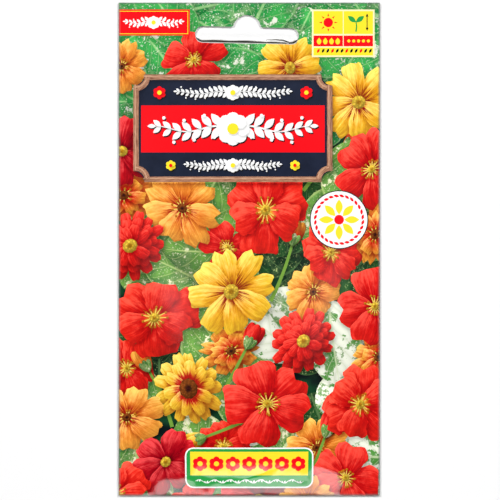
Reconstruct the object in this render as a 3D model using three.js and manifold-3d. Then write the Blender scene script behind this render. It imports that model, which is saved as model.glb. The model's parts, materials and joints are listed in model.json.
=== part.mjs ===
// A sealed seed packet lying on its back, printed front up.
//
// Two webs of coated paper are bonded along the sides and the foot by a frame of
// adhesive, and over the whole header, where a hang slot is punched through all three
// layers. The seeds lie in the foot of the pocket and lift the front web over them.
//
// Millimetres. +Z is up, +Y points from the foot to the header, and the origin is the
// middle of the packet's footprint, on the surface that it lies on.

import * as THREE from "three";
import { mergeVertices } from "three/addons/utils/BufferGeometryUtils.js";
import Module from "manifold-3d";

const wasm = await Module();
wasm.setup();

// ---------------------------------------------------------------- driving dimensions

const PACKET = { width: 80, height: 151 };
const WEB = 0.125; // one layer of coated paper
const ADHESIVE = 0.0625; // the bond between the layers
const SEAL = { side: 5, foot: 4.5, header: 20 }; // widths of the bonded margins
const LIFT = 0.75; // the margins stand this far off the surface
const SWEEP = 6; // run over which the back web comes down from a margin

const SLOT = {
  width: 31.8, // end to end
  height: 4.8, // of the straight part
  domeRadius: 4.3,
  domeRise: 1.8, // the dome's centre above the slot's centre line
  fillet: 0.8, // where the dome meets the slot's upper edge
  fromTop: 9.9, // the slot's centre line below the packet's top edge
  aside: -0.7, // the slot's middle from the packet's middle, as it was punched
  tilt: -1.3, // degrees by which it was punched askew
};

const BULGE = {
  peak: 6, // rise of the front web over the seeds
  puff: 1.3, // rise over the empty upper pocket
  footRun: 14, // length of the slope up from the foot seal
  headRun: 30, // length of the slope down to the header
  fadeFrom: -44, // Y where the rise over the seeds starts to fade
  fadeTo: 20, // Y where only the puff is left
  roundness: 2.6, // power of the section across the packet
};

const SEED = {
  length: 7.2,
  width: 6.3,
  thickness: 5.2,
  ribs: 9,
  ribDepth: 0.24,
  wrinkle: 0.1,
  around: 18, // facets round a seed
  rings: 10, // facets from pole to pole
  clearance: 0.3, // to the web that it lies on
  bump: { rise: 0.3, spread: 2.4 }, // mark that each seed leaves on the front web
};

// Where each seed lies, and how far it is turned, in degrees.
const SEEDS = [
  { x: -12.4, y: -55.0, turn: 20 },
  { x: -4.0, y: -56.0, turn: 75 },
  { x: 4.3, y: -54.6, turn: -30 },
  { x: 12.6, y: -55.6, turn: 110 },
  { x: -9.0, y: -46.6, turn: -65 },
  { x: -0.4, y: -46.2, turn: 10 },
  { x: 8.2, y: -46.4, turn: 50 },
  { x: 2.2, y: -37.8, turn: -15 },
];

const COLOURS = {
  front: 0xd8442e,
  back: 0xe9ecdf,
  adhesive: 0xe3dcc8,
  seed: 0xb08a56,
};

// ------------------------------------------------------------------ worked-out places

const HALF_WIDTH = PACKET.width / 2;
const HALF_HEIGHT = PACKET.height / 2;
const POCKET = {
  half: HALF_WIDTH - SEAL.side,
  foot: -HALF_HEIGHT + SEAL.foot,
  head: HALF_HEIGHT - SEAL.header,
};
const BACK_TOP = LIFT + WEB; // upper face of the back web in the margins
const FRONT_UNDER = BACK_TOP + ADHESIVE; // lower face of the front web there
const SLOT_Y = HALF_HEIGHT - SLOT.fromTop;

// ------------------------------------------------------------------- surface formulas

// 0 up to the start, 1 past the end, and a smooth rise between.
const ramp = (value, start, end) => THREE.MathUtils.smoothstep(value, start, end);

// 0 at the start of a run and 1 past it, leaving the start at a slope.
const slope = (distance, run) =>
  Math.sin((Math.PI / 2) * THREE.MathUtils.clamp(distance / run, 0, 1));

// Rise of the front web over its margins, from the air and the seeds in the pocket.
function rise(x, y) {
  if (Math.abs(x) >= POCKET.half || y <= POCKET.foot || y >= POCKET.head) return 0;
  const full = 1 - ramp(y, BULGE.fadeFrom, BULGE.fadeTo);
  const crown = BULGE.puff + (BULGE.peak - BULGE.puff) * full;
  const along = slope(y - POCKET.foot, BULGE.footRun) * slope(POCKET.head - y, BULGE.headRun);
  const across = 1 - Math.pow(Math.abs(x) / POCKET.half, BULGE.roundness);
  const { rise: height, spread } = SEED.bump;
  const marks = SEEDS.reduce((sum, seed) => {
    const distance = Math.hypot(x - seed.x, y - seed.y) / spread;
    return sum + height * Math.exp(-0.5 * distance * distance);
  }, 0);
  return (crown + marks) * along * across;
}

// Share of the margin's lift that the back web still has at a point: 1 in a margin, 0 in
// the flat middle that the packet rests on.
function liftShare(x, y) {
  const inward = Math.min(POCKET.half - Math.abs(x), y - POCKET.foot, POCKET.head - y);
  return 1 - ramp(inward, 0, SWEEP);
}

// ------------------------------------------------------------------------ mesh helpers

// A list of stops that runs through the given [end, steps] stretches.
function stops(start, ...stretches) {
  const list = [start];
  for (const [end, steps] of stretches) {
    const from = list[list.length - 1];
    for (let i = 1; i <= steps; i += 1) list.push(from + ((end - from) * i) / steps);
  }
  return list;
}

// A closed sheet over a grid of X and Y stops, of even thickness above a lower face.
function sheet(xs, ys, lower, thickness) {
  const columns = xs.length;
  const layer = columns * ys.length;
  const points = [];
  for (const offset of [0, thickness])
    for (const y of ys) for (const x of xs) points.push(x, y, lower(x, y) + offset);
  const faces = [];
  const quad = (a, b, c, d) => faces.push(a, b, c, a, c, d);
  for (let row = 0; row < ys.length - 1; row += 1)
    for (let column = 0; column < columns - 1; column += 1) {
      const a = row * columns + column;
      const [b, c, d] = [a + 1, a + columns + 1, a + columns];
      quad(a, d, c, b);
      quad(a + layer, b + layer, c + layer, d + layer);
    }
  const wall = (a, b) => quad(a, b, b + layer, a + layer);
  for (let i = 0; i < columns - 1; i += 1) {
    const top = (ys.length - 1) * columns + i;
    wall(i, i + 1);
    wall(top + 1, top);
  }
  for (let i = 0; i < ys.length - 1; i += 1) {
    const left = i * columns;
    const right = left + columns - 1;
    wall(left + columns, left);
    wall(right, right + columns);
  }
  return new THREE.BufferGeometry()
    .setAttribute("position", new THREE.Float32BufferAttribute(points, 3))
    .setIndex(faces);
}

// A three.js geometry as a solid that can be joined or cut.
function toSolid(geometry) {
  const bare = geometry.clone();
  bare.deleteAttribute("normal");
  bare.deleteAttribute("uv");
  const merged = mergeVertices(bare, 1e-5);
  return new wasm.Manifold(
    new wasm.Mesh({
      numProp: 3,
      vertProperties: new Float32Array(merged.attributes.position.array),
      triVerts: new Uint32Array(merged.index.array),
    }),
  );
}

// A solid as a three.js geometry.
function toGeometry(solid) {
  const { vertProperties, triVerts, numProp } = solid.getMesh();
  const points = new Float32Array((vertProperties.length / numProp) * 3);
  for (let i = 0; i < points.length / 3; i += 1)
    for (let axis = 0; axis < 3; axis += 1)
      points[3 * i + axis] = vertProperties[numProp * i + axis];
  return new THREE.BufferGeometry()
    .setAttribute("position", new THREE.BufferAttribute(points, 3))
    .setIndex(new THREE.BufferAttribute(new Uint32Array(triVerts), 1));
}

function finish(name, geometry, colour, roughness) {
  const faceted = geometry.index ? geometry.toNonIndexed() : geometry;
  faceted.computeVertexNormals();
  const material = new THREE.MeshStandardMaterial({
    color: colour,
    roughness,
    metalness: 0,
    flatShading: true,
  });
  const mesh = new THREE.Mesh(faceted, material);
  mesh.name = name;
  return mesh;
}

// --------------------------------------------------------------------------- hang slot

// Outline of the hang slot: a long slot with round ends and a low dome over its middle.
function slotOutline() {
  const end = SLOT.height / 2;
  const reach = SLOT.width / 2 - end;
  const { domeRadius: radius, domeRise: up, fillet } = SLOT;
  const filletY = end + fillet;
  const filletX = Math.sqrt((radius + fillet) ** 2 - (filletY - up) ** 2);
  const meet = Math.atan2(filletY - up, filletX);
  const outline = new THREE.Shape();
  outline.moveTo(-reach, -end);
  outline.lineTo(reach, -end);
  outline.absarc(reach, 0, end, -Math.PI / 2, Math.PI / 2, false);
  outline.absarc(filletX, filletY, fillet, -Math.PI / 2, -Math.PI + meet, true);
  outline.absarc(0, up, radius, meet, Math.PI - meet, false);
  outline.absarc(-filletX, filletY, fillet, -meet, -Math.PI / 2, true);
  outline.absarc(-reach, 0, end, Math.PI / 2, (3 * Math.PI) / 2, false);
  return outline;
}

// The punch that cuts the hang slot, long enough to pass every layer.
function slotPunch() {
  const depth = 4;
  const punch = new THREE.ExtrudeGeometry(slotOutline(), {
    depth,
    bevelEnabled: false,
    curveSegments: 10,
  });
  punch.rotateZ(THREE.MathUtils.degToRad(SLOT.tilt));
  return toSolid(punch.translate(SLOT.aside, SLOT_Y, LIFT - depth / 2));
}

// ------------------------------------------------------------------------------ pieces

// The front web: flat over the margins and the header, and raised over the pocket.
function frontWeb() {
  const xs = stops(-HALF_WIDTH, [-POCKET.half, 1], [POCKET.half, 24], [HALF_WIDTH, 1]);
  const ys = stops(
    -HALF_HEIGHT,
    [POCKET.foot, 1],
    [POCKET.foot + BULGE.footRun, 7],
    [-36, 8],
    [BULGE.fadeTo, 14],
    [POCKET.head, 9],
    [HALF_HEIGHT, 1],
  );
  const web = sheet(xs, ys, (x, y) => FRONT_UNDER + rise(x, y), WEB);
  const solid = toSolid(web).subtract(slotPunch());
  return finish("front_panel", toGeometry(solid), COLOURS.front, 0.3);
}

// The back web: a shallow tray whose flat middle is what the packet rests on.
function backWeb() {
  const { half, foot, head } = POCKET;
  const steps = 3;
  const xs = stops(
    -HALF_WIDTH,
    [-half, 1],
    [-half + SWEEP, steps],
    [half - SWEEP, 1],
    [half, steps],
    [HALF_WIDTH, 1],
  );
  const ys = stops(
    -HALF_HEIGHT,
    [foot, 1],
    [foot + SWEEP, steps],
    [head - SWEEP, 1],
    [head, steps],
    [HALF_HEIGHT, 1],
  );
  const web = sheet(xs, ys, (x, y) => LIFT * liftShare(x, y), WEB);
  const solid = toSolid(web).subtract(slotPunch());
  return finish("back_panel", toGeometry(solid), COLOURS.back, 0.5);
}

// The adhesive that bonds the webs: a flat frame round the pocket, with the header filled.
function adhesiveFrame() {
  const frame = new THREE.Shape([
    new THREE.Vector2(-HALF_WIDTH, -HALF_HEIGHT),
    new THREE.Vector2(HALF_WIDTH, -HALF_HEIGHT),
    new THREE.Vector2(HALF_WIDTH, HALF_HEIGHT),
    new THREE.Vector2(-HALF_WIDTH, HALF_HEIGHT),
  ]);
  const pocket = new THREE.Path([
    new THREE.Vector2(-POCKET.half, POCKET.foot),
    new THREE.Vector2(-POCKET.half, POCKET.head),
    new THREE.Vector2(POCKET.half, POCKET.head),
    new THREE.Vector2(POCKET.half, POCKET.foot),
  ]);
  frame.holes.push(pocket);
  const layer = new THREE.ExtrudeGeometry(frame, { depth: ADHESIVE, bevelEnabled: false });
  const solid = toSolid(layer.translate(0, 0, BACK_TOP)).subtract(slotPunch());
  return finish("seal_adhesive", toGeometry(solid), COLOURS.adhesive, 0.6);
}

// One corky seed: an egg shape with ribs from pole to pole and wrinkles between them,
// lying on its side with its long axis along its own X.
function seed(index, { x, y, turn }) {
  const [a, b, c] = [SEED.length / 2, SEED.width / 2, SEED.thickness / 2];
  const rib = SEED.ribDepth;
  const geometry = new THREE.SphereGeometry(1, SEED.around, SEED.rings).rotateZ(Math.PI / 2);
  const place = geometry.attributes.position;
  const point = new THREE.Vector3();
  for (let i = 0; i < place.count; i += 1) {
    point.fromBufferAttribute(place, i);
    const around = Math.atan2(point.z, point.y);
    const girth = Math.hypot(point.y, point.z);
    const ribbed = rib * girth * (Math.cos(SEED.ribs * around + index) - 1);
    const creased = SEED.wrinkle * girth * Math.sin(5 * point.x * a + 3 * around + index);
    const taper = 1 - 0.12 * point.x; // one end is blunter than the other
    const scale = 1 + (ribbed + creased) / c;
    point.set(point.x * a, point.y * b * taper * scale, point.z * c * taper * scale);
    place.setXYZ(i, point.x, point.y, point.z);
  }
  const solid = toSolid(geometry);
  const lowest = solid.boundingBox().min[2];
  const mesh = finish(`seed_${index + 1}`, toGeometry(solid), COLOURS.seed, 0.85);
  mesh.position.set(x, y, WEB + SEED.clearance - lowest);
  mesh.rotation.z = THREE.MathUtils.degToRad(turn);
  return mesh;
}

const packet = new THREE.Group();
packet.add(frontWeb(), adhesiveFrame(), backWeb(), ...SEEDS.map((at, i) => seed(i, at)));

export default packet;
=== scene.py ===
"""Dresses a sealed seed packet: two printed webs of laminated paper, the bond, and the seeds.

The packet lies on its back, printed front up. Lengths are metres in the row frame, and
millimetres in the plans of the two prints, which are drawn as they are read. A colour is given
by the 0 to 255 values of a colour chart.
"""

from __future__ import annotations

import json
import logging
import math
import random
from abc import ABC, abstractmethod
from dataclasses import dataclass, field, fields
from enum import Enum
from typing import Callable, Iterable, Union

import bpy
import numpy as np
from mathutils import Matrix, Vector
from mathutils.geometry import delaunay_2d_cdt

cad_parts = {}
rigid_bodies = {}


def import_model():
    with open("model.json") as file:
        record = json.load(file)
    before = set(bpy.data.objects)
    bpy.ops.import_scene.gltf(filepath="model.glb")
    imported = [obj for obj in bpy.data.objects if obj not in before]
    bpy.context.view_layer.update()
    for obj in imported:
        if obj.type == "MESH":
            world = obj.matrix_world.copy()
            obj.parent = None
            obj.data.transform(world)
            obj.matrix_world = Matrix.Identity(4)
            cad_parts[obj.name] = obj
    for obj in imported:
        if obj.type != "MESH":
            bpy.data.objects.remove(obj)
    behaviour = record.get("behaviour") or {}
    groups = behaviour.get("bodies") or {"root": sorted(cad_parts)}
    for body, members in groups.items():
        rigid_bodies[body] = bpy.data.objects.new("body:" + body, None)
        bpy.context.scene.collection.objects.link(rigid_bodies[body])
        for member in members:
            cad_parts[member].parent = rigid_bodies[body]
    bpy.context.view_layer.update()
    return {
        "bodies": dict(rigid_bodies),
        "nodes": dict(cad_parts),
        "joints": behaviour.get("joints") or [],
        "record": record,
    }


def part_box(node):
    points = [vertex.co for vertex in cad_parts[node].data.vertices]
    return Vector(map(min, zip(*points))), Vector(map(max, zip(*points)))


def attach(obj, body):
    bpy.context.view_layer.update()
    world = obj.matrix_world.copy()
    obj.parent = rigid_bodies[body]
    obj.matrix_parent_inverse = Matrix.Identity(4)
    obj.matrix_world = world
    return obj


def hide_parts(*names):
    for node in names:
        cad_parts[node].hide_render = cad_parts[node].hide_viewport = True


LOG = logging.getLogger("seed_packet")
MM = 0.001
PACKET_WIDTH = 80 * MM
PACKET_HEIGHT = 151 * MM
PRINT_MAP = "print"
BAKE_MAP = "OFBake"
TONE = "tone"
CORE = "core"

Tree = bpy.types.NodeTree
Object = bpy.types.Object
Material = bpy.types.Material
Array = np.ndarray
Colour = tuple[int, int, int]


# ---- node trees


class Wire:
    """A value that flows through a node tree and takes part in ordinary arithmetic."""

    def __init__(self, socket: bpy.types.NodeSocket) -> None:
        """Holds an output socket and the tree that it is in."""
        self.socket = socket
        self.tree = socket.id_data

    def __add__(self, other: Number) -> Wire:
        """Sum."""
        return maths("ADD", self, other)

    def __sub__(self, other: Number) -> Wire:
        """Difference."""
        return maths("SUBTRACT", self, other)

    def __rsub__(self, other: Number) -> Wire:
        """Difference, from the right."""
        return maths("SUBTRACT", other, self)

    def __mul__(self, other: Number) -> Wire:
        """Product."""
        return maths("MULTIPLY", self, other)

    def __truediv__(self, other: Number) -> Wire:
        """Quotient."""
        return maths("DIVIDE", self, other)

    def __pow__(self, other: Number) -> Wire:
        """Power."""
        return maths("POWER", self, other)

    __radd__ = __add__
    __rmul__ = __mul__


Number = Union[float, Array, Wire]
Value = Union[float, str, Colour, Wire]


def plug(socket: bpy.types.NodeSocket, value: Value) -> None:
    """Links a wire to an input socket, or sets the socket to a plain value.

    Args:
        socket: The input socket.
        value: The wire, number, word or colour that goes in.
    """
    if isinstance(value, Wire):
        value.tree.links.new(value.socket, socket)
    elif isinstance(value, tuple):
        share = np.array(value) / 255
        linear = np.where(share <= 0.04045, share / 12.92, ((share + 0.055) / 1.055) ** 2.4)
        socket.default_value = (*linear, 1.0)
    else:
        socket.default_value = value


def added(
    tree: Tree, kind: str, inputs: dict, output: Union[int, str] = 0, **settings: object
) -> Wire:
    """Adds a node to a tree.

    Args:
        tree: The tree.
        kind: The node's type.
        inputs: What goes into its sockets, by their names or numbers.
        output: The name or number of the socket that is wanted.
        settings: The node's own settings.

    Returns:
        What leaves the node.
    """
    node = tree.nodes.new(kind)
    for name, value in settings.items():
        setattr(node, name, value)
    for key, value in inputs.items():
        plug(node.inputs[key], value)
    return Wire(node.outputs[output])


def joint(kind: str, *values: Number, **settings: object) -> Wire:
    """Adds a node that numbers go into, at least one of them a wire, and gives its result."""
    tree = next(value.tree for value in values if isinstance(value, Wire))
    return added(tree, kind, dict(enumerate(values)), **settings)


def maths(operation: str, *values: Number, clamp: bool = False) -> Wire:
    """The result of a Math node."""
    return joint("ShaderNodeMath", *values, operation=operation, use_clamp=clamp)


def dual(operation: str, plain: Callable) -> Callable[..., Number]:
    """Joins a Math node, for wires, and a plain function, for numbers and arrays.

    Args:
        operation: What the node does.
        plain: The function that does the same.

    Returns:
        A function that takes either kind of value.
    """

    def worked(*values: Number) -> Number:
        """The node's result, or the plain function's."""
        if isinstance(values[0], Wire):
            return maths(operation, *values)
        return plain(*values)

    return worked


sine = dual("SINE", np.sin)
size_of = dual("ABSOLUTE", np.abs)
exponential = dual("EXPONENT", np.exp)
lesser = dual("MINIMUM", np.minimum)
greater = dual("MAXIMUM", np.maximum)


def clamped(value: Number) -> Number:
    """The value kept between 0 and 1."""
    if isinstance(value, Wire):
        return maths("ADD", value, 0.0, clamp=True)
    return np.clip(value, 0.0, 1.0)


def ramp(value: Number, start: Number, end: Number) -> Number:
    """0 up to the start, 1 past the end, and a smooth rise between."""
    share = clamped((value - start) / (end - start))
    return share * share * (3.0 - 2.0 * share)


def slope(distance: Number, run: Number) -> Number:
    """0 at the start of a run and 1 past it, leaving the start at a slope."""
    return sine(clamped(distance / run) * (math.pi / 2))


def bell(distance: Number) -> Number:
    """1 at the middle of a bell, whose distance is in spreads, and none far from it."""
    return exponential(distance * distance * -0.5)


def components(vector: Wire) -> tuple[Wire, ...]:
    """The three numbers of a vector."""
    first = joint("ShaderNodeSeparateXYZ", vector)
    return tuple(Wire(socket) for socket in first.socket.node.outputs)


def vector_of(*values: Number) -> Wire:
    """A vector from three numbers."""
    return joint("ShaderNodeCombineXYZ", *values)


def noise(
    at: Union[Wire, tuple[Number, ...]], scale: float = 1.0, detail: float = 2.0, rough: float = 0.5
) -> Wire:
    """Smooth noise between 0 and 1.

    Args:
        at: Where it is read: a vector, or its three numbers.
        scale: Its fineness.
        detail: Its number of finer layers.
        rough: How strong the finer layers are.

    Returns:
        The noise's value.
    """
    place = vector_of(*at) if isinstance(at, tuple) else at
    inputs = {"Vector": place, "Scale": scale, "Detail": detail, "Roughness": rough}
    return added(place.tree, "ShaderNodeTexNoise", inputs)


def mixed(share: Wire, first: Value, second: Value) -> Wire:
    """A colour between two, by a share from 0 to 1."""
    inputs = {0: share, 6: first, 7: second}
    return added(share.tree, "ShaderNodeMix", inputs, 2, data_type="RGBA")


def brightened(colour: Wire, light: Wire) -> Wire:
    """A colour times a number."""
    inputs = {0: colour, "Scale": light}
    return added(light.tree, "ShaderNodeVectorMath", inputs, operation="SCALE")


def object_place(tree: Tree) -> Wire:
    """Object coordinates, in metres."""
    return added(tree, "ShaderNodeTexCoord", {}, "Object")


def in_scene(name: str, data: bpy.types.ID) -> Object:
    """A new object in the scene, with its data."""
    made = bpy.data.objects.new(name, data)
    bpy.context.scene.collection.objects.link(made)
    return made


# ---- web forms


@dataclass(frozen=True)
class SeedSpot:
    """Where a seed lies in the pocket: its middle, in metres, and its turn, in degrees."""

    x: float
    y: float
    turn: float


SEED_SPOTS = tuple(
    SeedSpot(x * MM, y * MM, turn)
    for x, y, turn in (
        (-12.4, -55.0, 20), (-4.0, -56.0, 75), (4.3, -54.6, -30), (12.6, -55.6, 110),
        (-9.0, -46.6, -65), (-0.4, -46.2, 10), (8.2, -46.4, 50), (2.2, -37.8, -15),
    )
)


@dataclass(frozen=True)
class WebForm(ABC):
    """How high a web stands over every point. The sizes are metres, or wires of them."""

    half: Number = 35 * MM
    foot: Number = -71 * MM
    head: Number = 55.5 * MM

    @abstractmethod
    def height(self, x: Number, y: Number) -> Number:
        """Height of the web's lower face.

        Args:
            x: Places across the packet.
            y: Places along it.

        Returns:
            The heights there, in metres.
        """

    @classmethod
    def words(cls) -> dict[str, str]:
        """The words by which a node tree knows each size."""
        return {size.name: size.name.replace("_", " ").capitalize() for size in fields(cls)}


@dataclass(frozen=True)
class FrontForm(WebForm):
    """The front web: flat over its margins, and raised over the air and the seeds."""

    base: Number = 0.9375 * MM
    peak: Number = 6 * MM
    puff: Number = 1.3 * MM
    foot_run: Number = 14 * MM
    head_run: Number = 30 * MM
    fade_from: Number = -44 * MM
    fade_to: Number = 20 * MM
    roundness: Number = 2.6
    mark: Number = 0.3 * MM
    spread: Number = 2.4 * MM
    flute: Number = 0.1 * MM
    flute_width: Number = 9 * MM

    def height(self, x: Number, y: Number) -> Number:
        """Height of the lower face, from the pocket's crown, the seeds and the flutes."""
        wide = lesser(size_of(x) / self.half, 1.0)
        from_foot = greater(y - self.foot, 0.0)
        from_head = greater(self.head - y, 0.0)
        full = 1.0 - ramp(y, self.fade_from, self.fade_to)
        crown = self.puff + (self.peak - self.puff) * full
        along = slope(from_foot, self.foot_run) * slope(from_head, self.head_run)
        across = 1.0 - wide**self.roundness
        marks = 0.0
        for spot in SEED_SPOTS:
            dx, dy = (x - spot.x) / self.spread, (y - spot.y) / self.spread
            marks = exponential((dx * dx + dy * dy) * -0.5) + marks
        up = (from_foot - self.foot_run * 0.55) / (self.foot_run * 0.4)
        waves = sine(x * (2 * math.pi) / self.flute_width + sine(x * 190.0) * 1.3)
        flutes = waves * bell(up) * self.flute
        return (crown + marks * self.mark + flutes) * along * across + self.base


@dataclass(frozen=True)
class BackForm(WebForm):
    """The back web: a shallow tray whose flat middle is what the packet rests on."""

    lift: Number = 0.75 * MM
    sweep: Number = 6 * MM

    def height(self, x: Number, y: Number) -> Number:
        """Height of the lower face: all of the lift in a margin, none in the middle."""
        inward = lesser(self.half - size_of(x), lesser(y - self.foot, self.head - y))
        return (1.0 - ramp(inward, 0.0, self.sweep)) * self.lift


class ShapeTree:
    """A Geometry Nodes tree with named sizes, which shapes pieces of one material."""

    MESH = "Mesh"
    SKIN = "Material"

    def __init__(self, name: str, sizes: Iterable[str]) -> None:
        """Args:
            name: The tree's name.
            sizes: The names of the sizes that it takes, beside a mesh and a material.
        """
        self.tree = bpy.data.node_groups.new(name, "GeometryNodeTree")
        self.sockets: dict[str, str] = {}
        kinds = {self.MESH: "Geometry"} | dict.fromkeys(sizes, "Float") | {self.SKIN: "Material"}
        for words, kind in kinds.items():
            self.sockets[words] = self._declare(words, "INPUT", kind)
        self._declare(self.MESH, "OUTPUT", "Geometry")
        start = self.tree.nodes.new("NodeGroupInput")
        self.given = {words: Wire(start.outputs[words]) for words in kinds}
        self.place = added(self.tree, "GeometryNodeInputPosition", {})

    def _declare(self, words: str, way: str, kind: str) -> str:
        """Adds a socket to the tree's face, and gives its identifier."""
        face = self.tree.interface
        return face.new_socket(words, in_out=way, socket_type=f"NodeSocket{kind}").identifier

    def close(self, shaped: Wire, painted: Union[Wire, bool] = True) -> None:
        """Ends the tree with real geometry and its material.

        Args:
            shaped: The shaped mesh.
            painted: Where the mesh takes the tree's material.
        """
        real = added(self.tree, "GeometryNodeRealizeInstances", {0: shaped})
        paint = {"Geometry": real, "Selection": painted, "Material": self.given[self.SKIN]}
        end = self.tree.nodes.new("NodeGroupOutput")
        plug(end.inputs[0], added(self.tree, "GeometryNodeSetMaterial", paint))

    def apply(self, piece: Object, sizes: dict[str, float], skin: Material) -> None:
        """Shapes a piece, and leaves it as a plain mesh without a modifier.

        Args:
            piece: The piece.
            sizes: The tree's sizes, by their names.
            skin: The material that the tree sets.
        """
        modifier = piece.modifiers.new("shape", "NODES")
        modifier.node_group = self.tree
        for words, value in (sizes | {self.SKIN: skin}).items():
            modifier[self.sockets[words]] = value
        graph = bpy.context.evaluated_depsgraph_get()
        mesh = bpy.data.meshes.new_from_object(
            piece.evaluated_get(graph), preserve_all_data_layers=True, depsgraph=graph
        )
        mesh.name = piece.name
        piece.modifiers.clear()
        piece.data = mesh


def lift_tree(form: WebForm) -> ShapeTree:
    """A tree that raises a flat web to its form.

    Args:
        form: The web's form, whose sizes are the tree's.

    Returns:
        The tree, which sets the material of the cut edges and the unprinted face.
    """
    words = form.words()
    made = ShapeTree(f"lift {type(form).__name__}", words.values())
    wired = type(form)(**{name: made.given[size] for name, size in words.items()})
    x, y, _ = components(made.place)
    moves = {"Geometry": made.given[made.MESH], "Offset": vector_of(0.0, 0.0, wired.height(x, y))}
    raised = added(made.tree, "GeometryNodeSetPosition", moves)
    bare = {"Name": CORE}
    made.close(raised, added(
        made.tree, "GeometryNodeInputNamedAttribute", bare, "Attribute", data_type="BOOLEAN"
    ))
    return made


# ---- the effects


Given = dict[str, Wire]


class Effect(ABC):
    """A shader node group, named as its class, that is built once and placed in many materials."""

    INPUTS: dict[str, Union[float, Colour]]
    OUTPUT = "Colour"
    OUTPUT_KIND = "NodeSocketColor"

    @classmethod
    @abstractmethod
    def body(cls, tree: Tree, given: Given) -> Wire:
        """Builds the effect.

        Args:
            tree: The group's own tree.
            given: The group's inputs, by their names.

        Returns:
            The effect's result.
        """

    @classmethod
    def group(cls) -> Tree:
        """Builds the node group the first time it is asked for.

        Returns:
            The group.
        """
        known = bpy.data.node_groups.get(cls.__name__)
        if known is not None:
            return known
        tree = bpy.data.node_groups.new(cls.__name__, "ShaderNodeTree")
        for name, value in cls.INPUTS.items():
            kind = "NodeSocketColor" if isinstance(value, tuple) else "NodeSocketFloat"
            plug(tree.interface.new_socket(name, in_out="INPUT", socket_type=kind), value)
        tree.interface.new_socket(cls.OUTPUT, in_out="OUTPUT", socket_type=cls.OUTPUT_KIND)
        start = tree.nodes.new("NodeGroupInput")
        given = {name: Wire(start.outputs[name]) for name in cls.INPUTS}
        plug(tree.nodes.new("NodeGroupOutput").inputs[0], cls.body(tree, given))
        return tree

    @classmethod
    def place(cls, tree: Tree, values: dict[str, Value]) -> Wire:
        """Places the group in a material's tree, with its own values, and gives its result."""
        return added(tree, "ShaderNodeGroup", values, node_tree=cls.group())


class Relief(Effect):
    """An effect whose result is a height in metres."""

    OUTPUT = "Height"
    OUTPUT_KIND = "NodeSocketFloat"


def shape_place(tree: Tree) -> tuple[Wire, Wire]:
    """Where a point is along and across the printed shape that it belongs to."""
    along, across, _ = components(added(tree, "ShaderNodeUVMap", {}, uv_map=PRINT_MAP))
    return along, across


def shape_tone(tree: Tree) -> tuple[Wire, ...]:
    """A printed shape's light and shade, its own random number, and its plant's."""
    return components(added(tree, "ShaderNodeAttribute", {}, "Vector", attribute_name=TONE))


class PetalInk(Effect):
    """Print of a petal: a flare from the throat, fine streaks, a soft rim and shading."""

    INPUTS = {
        "Throat": (250, 190, 40), "Body": (230, 30, 30), "Tip": (240, 50, 40),
        "Vein": (150, 10, 20), "Silk": (255, 120, 90), "Flare": 0.2, "Ragged": 0.3, "Veins": 0.5,
    }

    @classmethod
    def body(cls, tree: Tree, given: Given) -> Wire:
        """Builds the petal's colours."""
        along, across = shape_place(tree)
        shade, own, kin = shape_tone(tree)
        broad = noise((across * 5.0, along * 1.1, own * 60.0), 1.0, 2.0)
        fine = noise((across * 17.0, along * 1.6, own * 90.0), 1.0, 3.0, 0.6)
        ragged = (broad - 0.5) * 0.6 + (fine - 0.5) * 1.2
        reach = along + ragged * given["Ragged"] + size_of(across) * 0.12
        flare = 1.0 - ramp(reach, given["Flare"] - 0.09, given["Flare"] + 0.09)
        colour = mixed(ramp(along, 0.35, 1.0), given["Body"], given["Tip"])
        line = 1.0 - clamped(size_of(fine - 0.5) * 9.0)
        faded = clamped(1.25 - along)
        colour = mixed(line * given["Veins"] * faded, colour, given["Vein"])
        colour = mixed(flare, colour, given["Throat"])
        rim = greater(size_of(across) ** 7.0, clamped(along) ** 16.0)
        crinkle = noise((across * 3.0, along * 4.5, own * 33.0), 1.0, 3.0, 0.6)
        folds = (broad - 0.5) * 0.5 + (crinkle - 0.5) * 0.7 + (fine - 0.5) * 0.4
        light = shade * (1.0 + folds) * (0.96 + kin * 0.1) * (1.0 + rim * 0.2)
        silk = ramp(light + (fine - 0.5) * 0.3, 0.74, 1.12)
        colour = mixed(silk * 0.5, colour, given["Silk"])
        dusk = 1.0 - ramp(light, 0.4, 0.78)
        colour = mixed(dusk * 0.45, colour, given["Vein"])
        return brightened(colour, light)


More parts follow.
